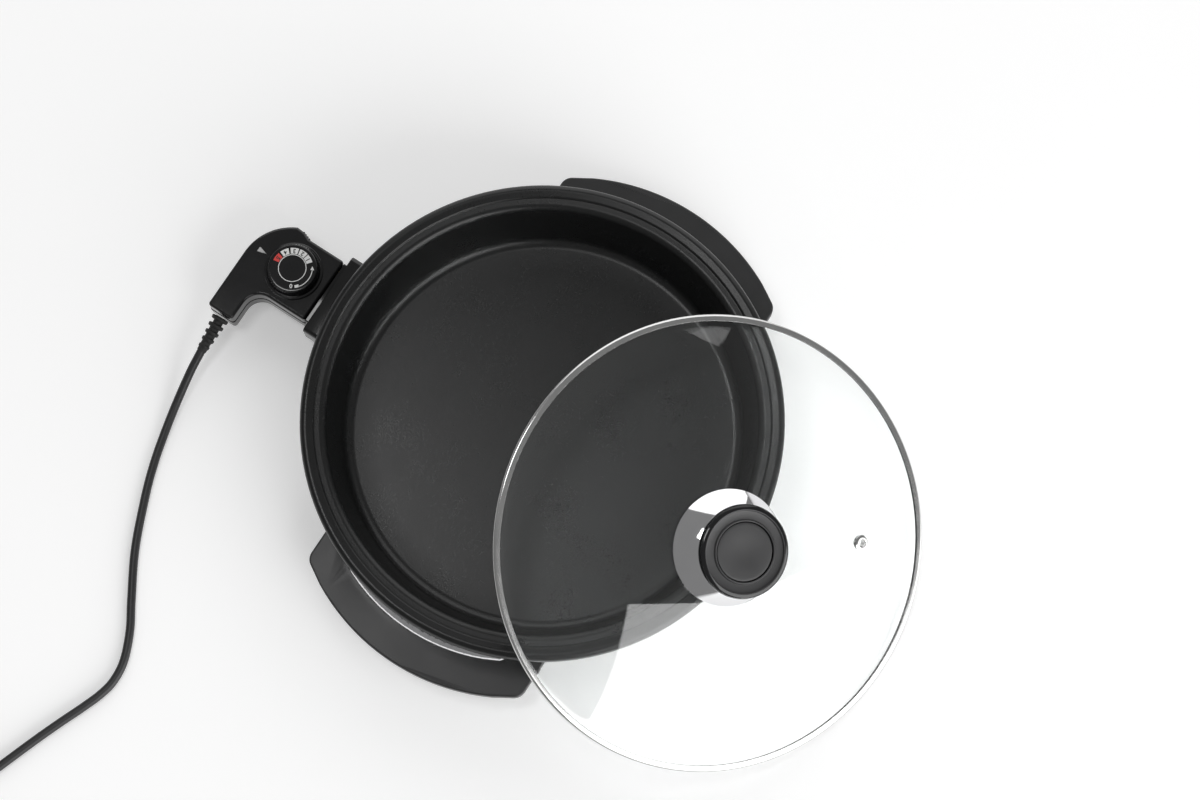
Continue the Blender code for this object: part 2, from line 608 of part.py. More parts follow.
def control_works(control):
    probe = [(0, -0.2380), (PROBE_R, -0.2380), (PROBE_R, -0.1390), (PROBE_R * 0.6, -0.1372), (0, -0.1370)]
    piece("probe_tube", along_y(turned(probe, SMALL), 0, ELEMENT_Z), "stainless", control)
    sleeve = [(0.0029, -0.2320), (0.0045, -0.2320), (0.0045, -0.1900), (0.0029, -0.1900)]
    for side, x in (("left", -TERMINAL_X), ("right", TERMINAL_X)):
        shape = along_y(turned(sleeve, SMALL, closed=True), x, ELEMENT_Z)
        piece("contact_sleeve_" + side, shape, "brass", control)
    carrier = piece("contact_carrier", block((-0.0265, -0.2310, 0.0155), (0.0265, -0.2285, 0.0260)),
                    "switch", control)
    sides = block((-0.0200, -0.2310, 0.0259), (0.0200, -0.2285, 0.0375))
    combine(carrier, "UNION", "carrier_stock", [sides])
    combine(carrier, "DIFFERENCE", "carrier_bores", front_bores(-0.2400, -0.2200))
    x, y = DIAL_XY
    switch = block((x - 0.0120, y - 0.0110, 0.0156), (x + 0.0120, y + 0.0110, 0.0300))
    piece("thermostat_switch", switch, "switch", control)
    lamp = moved(rod(0.0025, 0.0170, 0.0370), Matrix.Translation((x, -0.2890, 0)))
    piece("pilot_lamp", lamp, "lamp", control)
    piece("pilot_lens", prism(pointer_outline(0.0), 0.0375, 0.0413), "lens", control)
    clamp = block((0.0380, -0.2960, 0.0156), (0.0440, -0.2800, 0.0220))
    piece("cord_clamp", clamp, "switch", control)


def control_dial(dial):
    """The dial and its spindle turn about their own Z."""
    profile = [(0, 0.0480), (0.0033, 0.0480), (0.0033, 0.0414), (0.0250, 0.0414), (0.0250, 0.0430),
               (0.0228, 0.0446), (0.0213, 0.0512), (0.0205, 0.0525), (0, 0.0525)]
    piece("control_dial", turned(profile, MEDIUM), "gloss_plastic", dial)
    piece("dial_spindle", rod(0.0030, 0.0303, 0.0470), "brass", dial)


def between(root, tip):
    """A frame at root whose Z points to tip."""
    heading = Vector(tip) - Vector(root)
    return Matrix.Translation(root) @ heading.to_track_quat("Z", "Y").to_matrix().to_4x4()


def strain_relief(control):
    length = (Vector(RELIEF_TIP) - Vector(RELIEF_ROOT)).length
    profile = [(0, 0), (0.0076, 0), (0.0074, length * 0.3), (0.0060, length * 0.8), (0.0052, length),
               (0, length)]
    shape = moved(turned(profile, SMALL), between(RELIEF_ROOT, RELIEF_TIP))
    piece("strain_relief", shape, "rubber", control)


# ---- mains lead ---------------------------------------------------------------------
def mains_lead(axis):
    """The lead on the table, its storage coil, the tie, and the plug beside the coil."""
    route = smooth_route(CORD_ROUTE, 0.0165)
    tube("power_cord", route, CORD_D / 2, "cord_rubber", axis)
    bevel = 0.0040
    (inside, outside), (low, high) = COIL_R, COIL_Z
    profile = [(inside, low), (outside - bevel, low), (outside, low + bevel), (outside, high - bevel),
               (outside - bevel, high), (inside, high)]
    ring = turned(profile, MEDIUM, closed=True)
    piece("cord_coil", ring, "cord_rubber", axis, (*COIL_CENTRE, 0))

    heading = Vector((math.cos(TAIL_HEADING), math.sin(TAIL_HEADING), 0))
    side = Vector((-heading.y, heading.x, 0))
    turn_r = COIL_R[1] - CORD_D / 2
    leave = math.sqrt((COIL_R[1] + GAP) ** 2 - (COIL_R[1] - CORD_D) ** 2)
    top = Vector((*COIL_CENTRE, high - CORD_D / 2))
    start = top + side * turn_r + heading * (leave + 0.0003)
    end = start + heading * TAIL_LENGTH
    end.z = MAINS_R + 0.0001
    tail = []
    for reach, rise in ((0.0, 0.0), (0.1, 0.0), (0.2, 0.05), (0.35, 0.25), (0.5, 0.50), (0.65, 0.75),
                        (0.8, 0.95), (0.9, 1.0), (1.0, 1.0)):
        spot = start.lerp(end, reach)
        spot.z = start.z + (end.z - start.z) * rise
        tail.append(tuple(spot))
    tube("cord_tail", tail, CORD_D / 2, "cord_rubber", axis)

    nose = Vector((end.x, end.y, 0)) + heading * GAP
    total = MAINS_TAIL + MAINS_LENGTH
    body = [(0, 0), (0.0055, 0), (0.0085, MAINS_TAIL * 0.9), (0.0150, MAINS_TAIL),
            (MAINS_R, MAINS_TAIL + 0.0060), (MAINS_R, total - 0.0010), (MAINS_R - 0.0010, total), (0, total)]
    tip = nose + heading * total
    frame = between((nose.x, nose.y, MAINS_R + 0.0001), (tip.x, tip.y, MAINS_R + 0.0001))
    piece("mains_plug", moved(turned(body, 24), frame), "rubber", axis)
    foot, tip_z = total + GAP, total + 0.0190
    for label, sway in (("left", 0.0095), ("right", -0.0095)):
        pin = turned([(0, foot), (0.0024, foot), (0.0024, tip_z - 0.0015), (0.0012, tip_z), (0, tip_z)],
                     SMALL)
        level = frame @ Matrix.Translation(frame.to_3x3().inverted() @ (side * sway))
        piece("mains_pin_" + label, moved(pin, level), "stainless", axis)


def cord_tie(axis):
    """A flat strap looped once round the coil's windings."""
    slack = 0.0004
    strap = 0.0006
    half = 0.0050
    inside, outside = COIL_R[0] - slack, COIL_R[1] + slack
    low, high = COIL_Z[0] - slack, COIL_Z[1] + slack
    place = Matrix.Translation((*COIL_CENTRE, 0)) @ Matrix.Rotation(TIE_ANGLE, 4, "Z")
    loop = block((inside - strap - slack, -half, low - strap), (outside + strap, half, high + strap))
    tie = piece("cord_tie", moved(loop, place), "rubber", axis)
    hole = block((inside - slack, -half * 2, low), (outside, half * 2, high))
    combine(tie, "DIFFERENCE", "tie_hole", [moved(hole, place)])


# ---- the whole object -----------------------------------------------------------------
def build():
    clear_scene()
    axis = empty("pan_axis", (0, PAN_Y, 0))
    pan_body(axis)
    heating_element(axis)
    terminals(axis)
    inlet_shroud(axis)
    handles(axis)

    x, y = LID_OFFSET * math.cos(LID_BEARING), PAN_Y + LID_OFFSET * math.sin(LID_BEARING)
    lid = empty("lid_lift_axis", (x, y, lid_height()), (0, LID_TILT, LID_BEARING))
    piece("lid_rim", turned(RING_PROFILE, FINE, closed=True), "stainless", lid)
    lid_glass(lid)
    vent_eyelet(lid)
    knob(lid)

    control = empty("control_pull_axis", (0, PAN_Y, 0))
    control_housing(control)
    control_works(control)
    strain_relief(control)
    dial = empty("dial_turn_axis", (DIAL_XY[0], PAN_Y + DIAL_XY[1], 0))
    control_dial(dial)

    mains_lead(axis)
    cord_tie(axis)


build()
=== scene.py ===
"""The looks of the electric party pan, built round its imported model.

Metres, +Z up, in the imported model's frame. Round pieces are raised ring by ring from a
circle, the others are cut, bevelled and extruded from primitives, and every finish is a
node material on object coordinates.
"""

import json
from math import asin, atan, atan2, cos, degrees, pi, radians, sin, sqrt, tan

import bmesh
import bpy
from mathutils import Matrix, Vector


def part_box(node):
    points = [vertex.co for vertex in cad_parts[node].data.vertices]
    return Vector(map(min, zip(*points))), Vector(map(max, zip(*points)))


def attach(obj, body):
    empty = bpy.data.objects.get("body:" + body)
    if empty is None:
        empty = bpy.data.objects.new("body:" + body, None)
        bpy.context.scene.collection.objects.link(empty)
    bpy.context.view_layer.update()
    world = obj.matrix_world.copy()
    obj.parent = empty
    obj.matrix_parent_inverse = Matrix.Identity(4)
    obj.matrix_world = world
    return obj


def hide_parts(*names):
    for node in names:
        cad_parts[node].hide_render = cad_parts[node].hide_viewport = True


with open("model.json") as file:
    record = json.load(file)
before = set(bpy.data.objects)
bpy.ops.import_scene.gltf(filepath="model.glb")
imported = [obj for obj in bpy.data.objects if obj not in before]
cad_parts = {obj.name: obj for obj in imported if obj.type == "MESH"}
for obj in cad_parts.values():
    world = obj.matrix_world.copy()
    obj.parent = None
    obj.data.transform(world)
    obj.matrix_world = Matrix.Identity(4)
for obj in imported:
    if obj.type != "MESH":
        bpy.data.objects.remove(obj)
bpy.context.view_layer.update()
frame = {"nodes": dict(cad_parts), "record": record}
SLOT = {part["node"]: part["material_slot"] for part in frame["record"]["subparts"]}

shift = Matrix.Translation


def link(made):
    bpy.context.scene.collection.objects.link(made)


def rotation(angle, axis="Z"):
    return Matrix.Rotation(angle, 4, axis)


# ---- driving dimensions ----
PAN_LOW, PAN_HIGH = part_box("pan_body")
PAN_Y = (PAN_LOW.y + PAN_HIGH.y) / 2
RIM_R = (PAN_HIGH.x - PAN_LOW.x) / 2
RIM_Z = PAN_HIGH.z
FLOOR_Z = 0.036  # cooking surface
UNDER_Z = 0.032  # underside of the pan's floor
PAN = shift((0, PAN_Y, 0))
GAP = 0.0003  # between pieces that rest on each other
ROUND = 160  # sides of the pan, the lid and its ring
TURNED = 96  # sides of knobs, dials and the plug
SMALL = 32  # sides of pins and screws
TINY = 1e-7
LEVEL = 1e-5  # how far a corner may be from the height it is tested for

HANDLE_Z = (0.025, 0.036)
HANDLE_ARC = (0.045, 0.1865)  # centre and radius of the handle's outer arc
HANDLE_INNER_R = 0.1775
HANDLE_HALF = 0.107  # half the handle's length
BRACKET_ARC = (0.04, 0.1635)
BRACKET_INNER_R = 0.177
BRACKET_HALF = 0.0808
BRACKET_TOP = 0.06
LEG_XY = (0.185, 0.085)
PAD_T = 0.003
BOSS_R = 0.157
BOSS_ANGLE = radians(22)
BOSS_Z = 0.0268
FIXING_R = 0.0022  # holes for the fixings
SHROUD_BOSS = (0.034, -0.158)
ELEMENT_R = 0.105
ELEMENT_Z = 0.0277
TERMINAL = (0.02, -0.15)

LID_TILT = radians(23.3)
LID_BEARING = radians(87.2)
LID_OFFSET = 0.1737
RING_R = 0.1892
RING_INNER = 0.1838
RING_HALF = 0.0026  # half the ring's height
GLASS_T = 0.0036
DOME_R = 0.181
DOME_H = 0.034
DOME_POWER = 2.5
VENT_R = 0.124
VENT_ANGLE = radians(37.6)

DIAL_XY = (0.0, -0.255)
DIAL_TEETH = 60
DIAL_FACE = 0.0523  # height of the dial's printed face
INK = 7e-5  # thickness of a print
CONTROL_Z = (0.0125, 0.041)
CONTROL_SPLIT = 0.0263  # where the cover meets the base
CONTROL_WALL = 0.0025
CONTROL_HALF = 0.031  # half the body's width
CONTROL_FRONT = -0.2235
CONTROL_BACK = -0.301
GRIP_INNER = -0.2753
GRIP_END_X = 0.064
CORNER = (0.008, -0.2535, 0.0475)  # centre and radius of the body's round corner
SLEEVE_BORE_R = 0.0049
PROBE_BORE_R = 0.0034

CORD_D = 0.0075
CORD_Z = CORD_D / 2 + 0.0001
RELIEF_ROOT = (GRIP_END_X + 0.0014, -0.2877, 0.0268)
RELIEF_TIP = (0.0985, -0.2862, 0.0222)
# The free lead from the strain relief to the storage coil, relative to the pan's axis.
CORD_ROUTE = [(0.0992, -0.2862, 0.022), (0.118, -0.285, 0.0168), (0.1486, -0.281, 0.0078)]
CORD_ROUTE += [(x, y, CORD_Z) for x, y in (
    (0.1793, -0.2744), (0.2054, -0.2666), (0.2303, -0.2571), (0.27, -0.2392), (0.3067, -0.2172),
    (0.3283, -0.2036), (0.3518, -0.1932), (0.3703, -0.1906), (0.385, -0.193), (0.4007, -0.1985),
    (0.4238, -0.208), (0.4432, -0.2156), (0.464, -0.2232), (0.4811, -0.2293), (0.4965, -0.2349))]
COIL_CENTRE = (0.507, -0.2873)
COIL_R = (0.033, 0.0495)
COIL_Z = (0.0011, 0.0163)
WINDING_R = (COIL_R[1] - CORD_D / 2, COIL_R[0] + CORD_D / 2)  # outer and inner windings
WINDING_Z = (COIL_Z[0] + CORD_D / 2, COIL_Z[1] - CORD_D / 2)  # lower and upper windings
COIL_START = 70  # degrees, where the lead meets the coil
COIL_SWEEP = 1204.5  # degrees wound, clockwise
TIE_ANGLE = radians(300)
TAIL_TURN = radians(215.5)
TAIL_HEADING = Vector((cos(TAIL_TURN), sin(TAIL_TURN), 0))
TAIL_REACH = 0.0425  # from the coil to the plug
MAINS_R = 0.0185
MAINS_TAIL = 0.03
MAINS_LENGTH = 0.04
PIN_SPREAD = 0.0095  # from the plug's axis to a pin's

FLOOR_SIZE = 30
WORLD = 0.24  # strength of the light from all round
FLOOR_GLOW = 0.27
# name, place, aim, size, turn about the aim and power of each soft box
LAMPS = [
    ("overhead", (0.25, -0.78, 3), (0.25, -0.78, 0), (0.9, 0.7), 0, 14),
    ("side", (0.79, 2.6, 1.26), (0.79, 0, 1.26), (4.2, 2.5), -54, 118),
    ("back", (-2.8, -1.3, 1.75), (0, 0, 0.6), (5, 3.4), 0, 66),
]


# ---- camera ----
def camera():
    """High above the table, leaning 11.6 degrees, with the lead to the left."""
    lean, heading, right_way = radians(11.6), radians(-147), radians(123)
    forward = Vector((sin(lean) * cos(heading), sin(lean) * sin(heading), -cos(lean)))
    right = Vector((cos(right_way), sin(right_way), 0))
    up = right.cross(forward)
    data = bpy.data.cameras.new("camera")
    data.lens = 81
    data.sensor_width = 36
    eye = bpy.data.objects.new("camera", data)
    link(eye)
    turn = Matrix((right, up, -forward)).transposed().to_4x4()
    eye.matrix_world = shift((0.3369, 0.2524, 2.2793)) @ turn
    bpy.context.scene.camera = eye


# ---- shader graphs ----
class Socket:
    """An output in a material's node tree. Arithmetic on it adds Math nodes."""

    def __init__(self, tree, link=None):
        self.tree = tree
        self.link = link

    def node(self, kind, settings=None, inputs=None, out=0):
        """Add a node: its settings first, then the values or links of its sockets."""
        made = self.tree.nodes.new("ShaderNode" + kind)
        for key, value in (settings or {}).items():
            setattr(made, key, value)
        for key, value in (inputs or {}).items():
            if isinstance(value, Socket):
                self.tree.links.new(value.link, made.inputs[key])
            else:
                made.inputs[key].default_value = value
        return Socket(self.tree, made.outputs[out])

    def math(self, operation, first, second):
        return self.node("Math", {"operation": operation}, {0: first, 1: second})

    def __add__(self, other):
        return self.math("ADD", self, other)

    def __sub__(self, other):
        return self.math("SUBTRACT", self, other)

    def __mul__(self, other):
        return self.math("MULTIPLY", self, other)

    def __radd__(self, other):
        return self.math("ADD", other, self)

    def __rsub__(self, other):
        return self.math("SUBTRACT", other, self)

    def __rmul__(self, other):
        return self.math("MULTIPLY", other, self)

    def noise(self, scale, detail=3.0, roughness=0.55):
        """Soft clouds at this place, 0 to 1."""
        return self.node("TexNoise", {},
                         {"Vector": self, "Scale": scale, "Detail": detail, "Roughness": roughness})

    def specks(self, scale, size):
        """1 inside small scattered grains, 0 between them."""
        cells = self.node("TexVoronoi", {"feature": "F1"},
                          {"Vector": self, "Scale": scale})
        return self.node("MapRange", {"clamp": True},
                         {"Value": cells, "From Min": size, "From Max": 0.0})

    def blend(self, first, second):
        """A colour between two, by this value. One number is a grey."""
        first, second = [c if isinstance(c, tuple) else (c, c, c) for c in (first, second)]
        return self.node("Mix", {"data_type": "RGBA"},
                         {0: self, 6: (*first, 1), 7: (*second, 1)}, out=2)

    def bump(self, strength, distance):
        """A normal tilted by this height."""
        return self.node("Bump", {},
                         {"Height": self, "Strength": strength, "Distance": distance})


def surface(name, fixed, build):
    """A Principled material: fixed sockets set on the shader, the rest linked by build."""
    made = bpy.data.materials.new(name)
    made.use_nodes = True
    tree = made.node_tree
    shader = tree.nodes["Principled BSDF"]
    for key, value in fixed.items():
        shader.inputs[key].default_value = value
    place = Socket(tree).node("TexCoord", out="Object")
    for key, value in build(place).items():
        tree.links.new(value.link, shader.inputs[key])
    return made


def moulded(name, dark, light, rough, spread, grain, depth, fixed=None):
    """Plastic, rubber or enamel: mottled colour, uneven gloss and a fine grain."""
    def build(place):
        cloud = place.noise(38.0)
        fine = place.noise(grain, 2.0)
        return {"Base Color": cloud.blend(dark, light),
                "Roughness": (cloud - 0.5) * spread + (fine - 0.5) * (spread * 0.6) + rough,
                "Normal": fine.bump(0.35, depth)}
    return surface(name, fixed or {}, build)


def metal(name, dark, light, rough, spread, grain, depth):
    """Plated or drawn metal: faint streaks of colour and gloss."""
    def build(place):
        cloud = place.noise(55.0)
        fine = place.noise(grain, 4.0, 0.65)
        return {"Base Color": cloud.blend(dark, light),
                "Roughness": (cloud - 0.5) * spread + (fine - 0.5) * spread + rough,
                "Normal": fine.bump(0.25, depth)}
    return surface(name, {"Metallic": 1.0}, build)


def nonstick():
    """Sprayed non-stick coating: black with pale grains and a soft orange-peel surface."""
    def build(place):
        grains = place.specks(1400, 0.22) * place.noise(260)
        peel = place.noise(900, 2.0)
        cloud = place.noise(24.0)
        return {"Base Color": grains.blend((0.0055, 0.0057, 0.0058), (0.075, 0.075, 0.073)),
                "Roughness": (cloud - 0.5) * 0.1 + (peel - 0.5) * 0.14 + 0.3,
                "Normal": (peel + grains * 0.5).bump(0.55, 0.00012)}
    return surface("nonstick", {"Specular IOR Level": 0.42}, build)


def glass():
    """Clear tempered glass with the faintest unevenness, which lets lamps through."""
    def build(place):
        return {"Base Color": place.noise(14.0).blend((0.955, 0.975, 0.968), (0.985, 0.992, 0.99))}
    made = surface("glass", {"Roughness": 0.0, "IOR": 1.5, "Transmission Weight": 1.0}, build)
    tree = made.node_tree
    shader = tree.nodes["Principled BSDF"]
    lamp = Socket(tree).node("LightPath", out="Is Shadow Ray")
    clear = Socket(tree).node("BsdfTransparent", {}, {"Color": (0.95, 0.96, 0.96, 1)})
    mixed = lamp.node("MixShader", {},
                      {0: lamp, 1: Socket(tree, shader.outputs[0]), 2: clear})
    tree.links.new(mixed.link, tree.nodes["Material Output"].inputs["Surface"])
    return made


def element():
    """Steel sheath, dulled and coloured by heat in soft bands."""
    def build(place):
        heat = place.noise(26.0, 2.0)
        fine = place.noise(1500, 3.0)
        return {"Base Color": heat.blend((0.17, 0.165, 0.16), (0.34, 0.31, 0.27)),
                "Roughness": (heat - 0.5) * 0.2 + (fine - 0.5) * 0.2 + 0.45,
                "Normal": fine.bump(0.3, 0.0001)}
    return surface("element_steel", {"Metallic": 1.0}, build)


# darkest and lightest colour, roughness and its spread, scale and depth of the grain
MOULDED = {
    "phenolic": ((0.014, 0.014, 0.0145), (0.02, 0.02, 0.0205), 0.36, 0.1, 1600, 8e-5),
    "polished_phenolic": (0.005, 0.008, 0.16, 0.08, 900, 4e-5),
    "gloss_plastic": ((0.0065, 0.0065, 0.007), (0.0085, 0.0085, 0.009), 0.1, 0.05, 600, 3e-5),
    "knob_satin": ((0.03, 0.03, 0.031), (0.042, 0.042, 0.043), 0.36, 0.08, 1900, 7e-5),
    "rubber": (0.01, 0.017, 0.58, 0.14, 900, 0.00015),
    "cord_rubber": ((0.014, 0.014, 0.015), (0.022, 0.022, 0.023), 0.42, 0.14, 1300, 0.0001),
    "silicone": (0.09, 0.12, 0.6, 0.1, 800, 0.0001),
    "ceramic": ((0.72, 0.7, 0.64), (0.84, 0.82, 0.76), 0.45, 0.15, 1100, 0.0001),
    "switch": ((0.28, 0.23, 0.17), (0.38, 0.33, 0.25), 0.55, 0.12, 800, 0.0001),
    "lens": (0.42, 0.56, 0.25, 0.1, 1200, 5e-5),
    "lamp": ((0.75, 0.3, 0.1), (0.85, 0.42, 0.15), 0.2, 0.1, 500, 5e-5),
    "ink_white": ((0.78, 0.78, 0.77), (0.88, 0.88, 0.87), 0.45, 0.1, 2500, 2e-5),
    "ink_red": ((0.62, 0.028, 0.022), (0.74, 0.045, 0.035), 0.45, 0.1, 2500, 2e-5),
    "ink_black": (0.01, 0.016, 0.5, 0.1, 2500, 2e-5),
}
METALS = {
    "chrome": ((0.76, 0.76, 0.77), (0.83, 0.83, 0.84), 0.055, 0.03, 300, 1e-5),
    "stainless": (0.6, (0.7, 0.7, 0.69), 0.17, 0.1, 1800, 4e-5),
    "screw_steel": ((0.42, 0.42, 0.43), (0.52, 0.52, 0.53), 0.32, 0.16, 1500, 6e-5),
    "brass": ((0.62, 0.45, 0.2), (0.74, 0.56, 0.27), 0.28, 0.14, 1200, 5e-5),
}


def finishes():
    """Every finish by name."""
    made = {name: moulded(name, *look) for name, look in MOULDED.items()}
    made.update({name: metal(name, *look) for name, look in METALS.items()})
    made["enamel"] = moulded("enamel", 0.006, 0.01, 0.16, 0.08, 700, 6e-5,
                             {"Coat Weight": 0.6, "Coat Roughness": 0.05})
    made["nonstick"] = nonstick()
    made["element_steel"] = element()
    made["glass"] = glass()
    return made


# ---- modelling helpers ----
def deselect():
    """Clear the selection before an operator acts on what it makes."""
    bpy.ops.object.select_all(action="DESELECT")


def take(made):
    """Make one object the only selected one."""
    deselect()
    made.select_set(True)
    bpy.context.view_layer.objects.active = made


def named(name):
    """Name the new primitive and put its place in its mesh."""
    made = bpy.context.object
    made.name = made.data.name = name
    bpy.ops.object.transform_apply()
    return made


def place(made, matrix):
    """Move a piece, with its new place in its mesh."""
    take(made)
    made.matrix_world = matrix
    bpy.ops.object.transform_apply()
    return made


def edit(made):
    take(made)
    bpy.ops.object.mode_set(mode="EDIT")


def done():
    bpy.ops.object.mode_set(mode="OBJECT")


def extrude(height):
    """In edit mode, extrude the selection upwards."""
    bpy.ops.mesh.extrude_region_move(TRANSFORM_OT_translate={"value": (0, 0, height)})


def pick_all():
    bpy.ops.mesh.select_all(action="SELECT")


def pick(kind, test):
    """In edit mode, select only the corners, edges or faces that pass the test. A corner is
    tested by its place, an edge by its two ends, a face by its middle and normal."""
    bpy.ops.mesh.select_mode(type=kind)
    bpy.ops.mesh.select_all(action="DESELECT")
    mesh = bpy.context.edit_object.data
    shape = bmesh.from_edit_mesh(mesh)
    if kind == "VERT":
        chosen = [v for v in shape.verts if test(v.co)]
    elif kind == "EDGE":
        chosen = [e for e in shape.edges if test(e.verts[0].co, e.verts[1].co)]
    else:
        shape.normal_update()
        chosen = [f for f in shape.faces if test(f.calc_center_median(), f.normal)]
    for part in chosen:
        part.select_set(True)
    shape.select_flush_mode()
    bmesh.update_edit_mesh(mesh)


def closed_up(made, smooth=30):
    """Weld, face outwards, and shade smooth up to an angle in degrees."""
    if bpy.context.mode != "EDIT_MESH":
        edit(made)
    bpy.ops.mesh.select_mode(type="VERT")
    pick_all()
    bpy.ops.mesh.remove_doubles(threshold=TINY * 20)
    bpy.ops.mesh.normals_make_consistent(inside=False)
    done()
    bpy.ops.object.shade_smooth_by_angle(angle=radians(smooth))
    return made


def turned(name, profile, sides=TURNED, ring=False, smooth=30):
    """A circle raised and resized along an (r, z) profile; a ring's profile is closed."""
    start = 1 if profile[0][0] == 0 else 0
    radius, height = profile[start]
    deselect()
    bpy.ops.mesh.primitive_circle_add(vertices=sides, radius=radius, location=(0, 0, height),
                                      fill_type="TRIFAN" if start else "NOTHING")
    made = named(name)
    edit(made)
    if start:
        pick("VERT", lambda p: p.xy.length < TINY)
        bpy.ops.transform.translate(value=(0, 0, profile[0][1] - height))
    pick("VERT", lambda p: p.xy.length > TINY)
    for (r, z), (next_r, next_z) in zip(profile[start:], profile[start + 1:]):
        extrude(next_z - z)
        if next_r == 0:
            bpy.ops.mesh.merge(type="CENTER")
        elif next_r != r:
            grow = next_r / r
            bpy.ops.transform.resize(value=(grow, grow, 1), center_override=(0, 0, 0))
    if ring:
        bpy.ops.mesh.select_mode(type="EDGE")
        bpy.ops.mesh.select_all(action="DESELECT")
        bpy.ops.mesh.select_non_manifold()
        bpy.ops.mesh.bridge_edge_loops()
    return closed_up(made, smooth)


def arc(centre, radius, start, end, steps):
    """Points on an arc, angles in degrees."""
    turn = [radians(start + (end - start) * k / steps) for k in range(steps + 1)]
    return [(centre[0] + radius * cos(a), centre[1] + radius * sin(a)) for a in turn]


def plate(name, outline, low, high):
    """An n-gon moved to an outline's corners and extruded from low to high."""
    deselect()
    bpy.ops.mesh.primitive_circle_add(vertices=len(outline), radius=1, fill_type="NGON")
    made = named(name)
    edit(made)
    shape = bmesh.from_edit_mesh(made.data)
    for corner, (x, y) in zip(shape.verts, outline):
        corner.co = (x, y, low)
    bmesh.update_edit_mesh(made.data)
    pick_all()
    extrude(high - low)
    return closed_up(made)


def block(name, low, high):
    deselect()
    low, high = Vector(low), Vector(high)
    bpy.ops.mesh.primitive_cube_add(size=1, location=(low + high) / 2, scale=high - low)
    return named(name)


def rod(name, radius, start, end, sides=SMALL):
    """A cylinder between two points."""
    deselect()
    start, end = Vector(start), Vector(end)
    along = end - start
    bpy.ops.mesh.primitive_cylinder_add(vertices=sides, radius=radius, depth=along.length,
                                        location=(start + end) / 2,
                                        rotation=along.to_track_quat("Z", "Y").to_euler())
    return named(name)


def apply(made, modifier):
    take(made)
    bpy.ops.object.modifier_apply(modifier=modifier.name)


def combine(target, tool, operation="DIFFERENCE"):
    """Cut a tool from the target, or weld it on, and remove the tool."""
    modifier = target.modifiers.new("combine", "BOOLEAN")
    modifier.operation = operation
    modifier.object = tool
    modifier.solver = "EXACT"
    apply(target, modifier)
    bpy.data.objects.remove(tool)
    return target


def weld(target, tool):
    """Make a tool one with the target."""
    return combine(target, tool, "UNION")


def soften(made, width, segments=2, angle=40):
    """Round every edge sharper than an angle."""
    modifier = made.modifiers.new("soften", "BEVEL")
    modifier.width = width
    modifier.segments = segments
    modifier.limit_method = "ANGLE"
    modifier.angle_limit = radians(angle)
    apply(made, modifier)
    return made


def round_edges(made, test, width, segments):
    """Round the edges whose two ends pass the test."""
    edit(made)
    pick("EDGE", test)
    bpy.ops.mesh.bevel(offset=width, segments=segments, profile=0.5, affect="EDGES")
    done()


def copied(made, name, matrix):
    """A copy with its own mesh, moved to another place."""
    twin = made.copy()
    twin.data = made.data.copy()
    twin.name = twin.data.name = name
    link(twin)
    return place(twin, matrix)


def show(made, body, finish, *nodes):
    """Give a piece its finish and body; it stands for the CAD nodes that are named."""
    made.data.materials.clear()
    made.data.materials.append(FINISH[finish])
    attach(made, body)
    if nodes:
        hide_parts(*nodes)
    return made


def second_finish(made, finish, test):
    """Give the faces that pass the test a second finish."""
    made.data.materials.append(FINISH[finish])
    edit(made)
    pick("FACE", test)
    made.active_material_index = 1
    bpy.ops.object.material_slot_assign()
    done()


# ---- mains lead ----
def ease(t):
    t = min(1.0, max(0.0, t))
    return t * t * (3 - 2 * t)


def winding(swept):
    """Where the cord is in the bundle after so many degrees: it fills the outer lower place,
    then the inner lower, inner upper and outer upper ones, changing over in one sector."""
    place_in = [(0, 0), (1, 0), (1, 1), (0, 1)]
    lap = min(3, int(swept // 360))
    here, there = place_in[lap], place_in[min(3, lap + 1)]
    t = ease((swept - lap * 360 - 290) / 70) if lap < 3 else 0.0
    r = [WINDING_R[k] for k in (here[0], there[0])]
    z = [WINDING_Z[k] for k in (here[1], there[1])]
    squeeze = 0.0025 * sin(pi * t) if lap == 1 else 0.0
    return r[0] + (r[1] - r[0]) * t - squeeze, z[0] + (z[1] - z[0]) * t


def smooth_route(route, steps):
    """Points on a smooth curve through the route's own points, never under the table."""
    knots = [Vector(p) for p in route]
    knots = [2 * knots[0] - knots[1]] + knots + [2 * knots[-1] - knots[-2]]
    fine = []
    for p0, p1, p2, p3 in zip(knots, knots[1:], knots[2:], knots[3:]):
        for k in range(steps):
            t = k / steps
            fine.append(0.5 * (2 * p1 + (p2 - p0) * t + (2 * p0 - 5 * p1 + 4 * p2 - p3) * t ** 2
                               + (3 * p1 - p0 - 3 * p2 + p3) * t ** 3))
    fine.append(knots[-2])
    return [Vector((p.x, p.y, max(p.z, CORD_Z))) for p in fine]


def cord_path():
    """The cord's centre line, from inside the strain relief to the plug."""
    inwards = (Vector(RELIEF_ROOT) - Vector(RELIEF_TIP)).normalized()
    path = [Vector(RELIEF_TIP) + inwards * 0.002] + smooth_route(CORD_ROUTE[:-1], 6)
    steps = 201
    for k in range(steps + 1):
        swept = COIL_SWEEP * k / steps
        r, z = winding(swept)
        lead_in = ease(swept / 40)
        z = CORD_Z + (z - CORD_Z) * lead_in
        a = radians(COIL_START - swept)
        path.append(Vector((*COIL_CENTRE, z)) + Vector((r * cos(a), r * sin(a), 0)))
    leave, top = path[-1].copy(), path[-1].z
    for reach in (0.008, 0.014, 0.02, 0.026, 0.031, 0.036, TAIL_REACH):
        spot = leave + TAIL_HEADING * reach
        spot.z = top + (MAINS_R + 0.0001 - top) * ease((reach - 0.006) / (TAIL_REACH - 0.006))
        path.append(spot)
    return [PAN @ p for p in path]


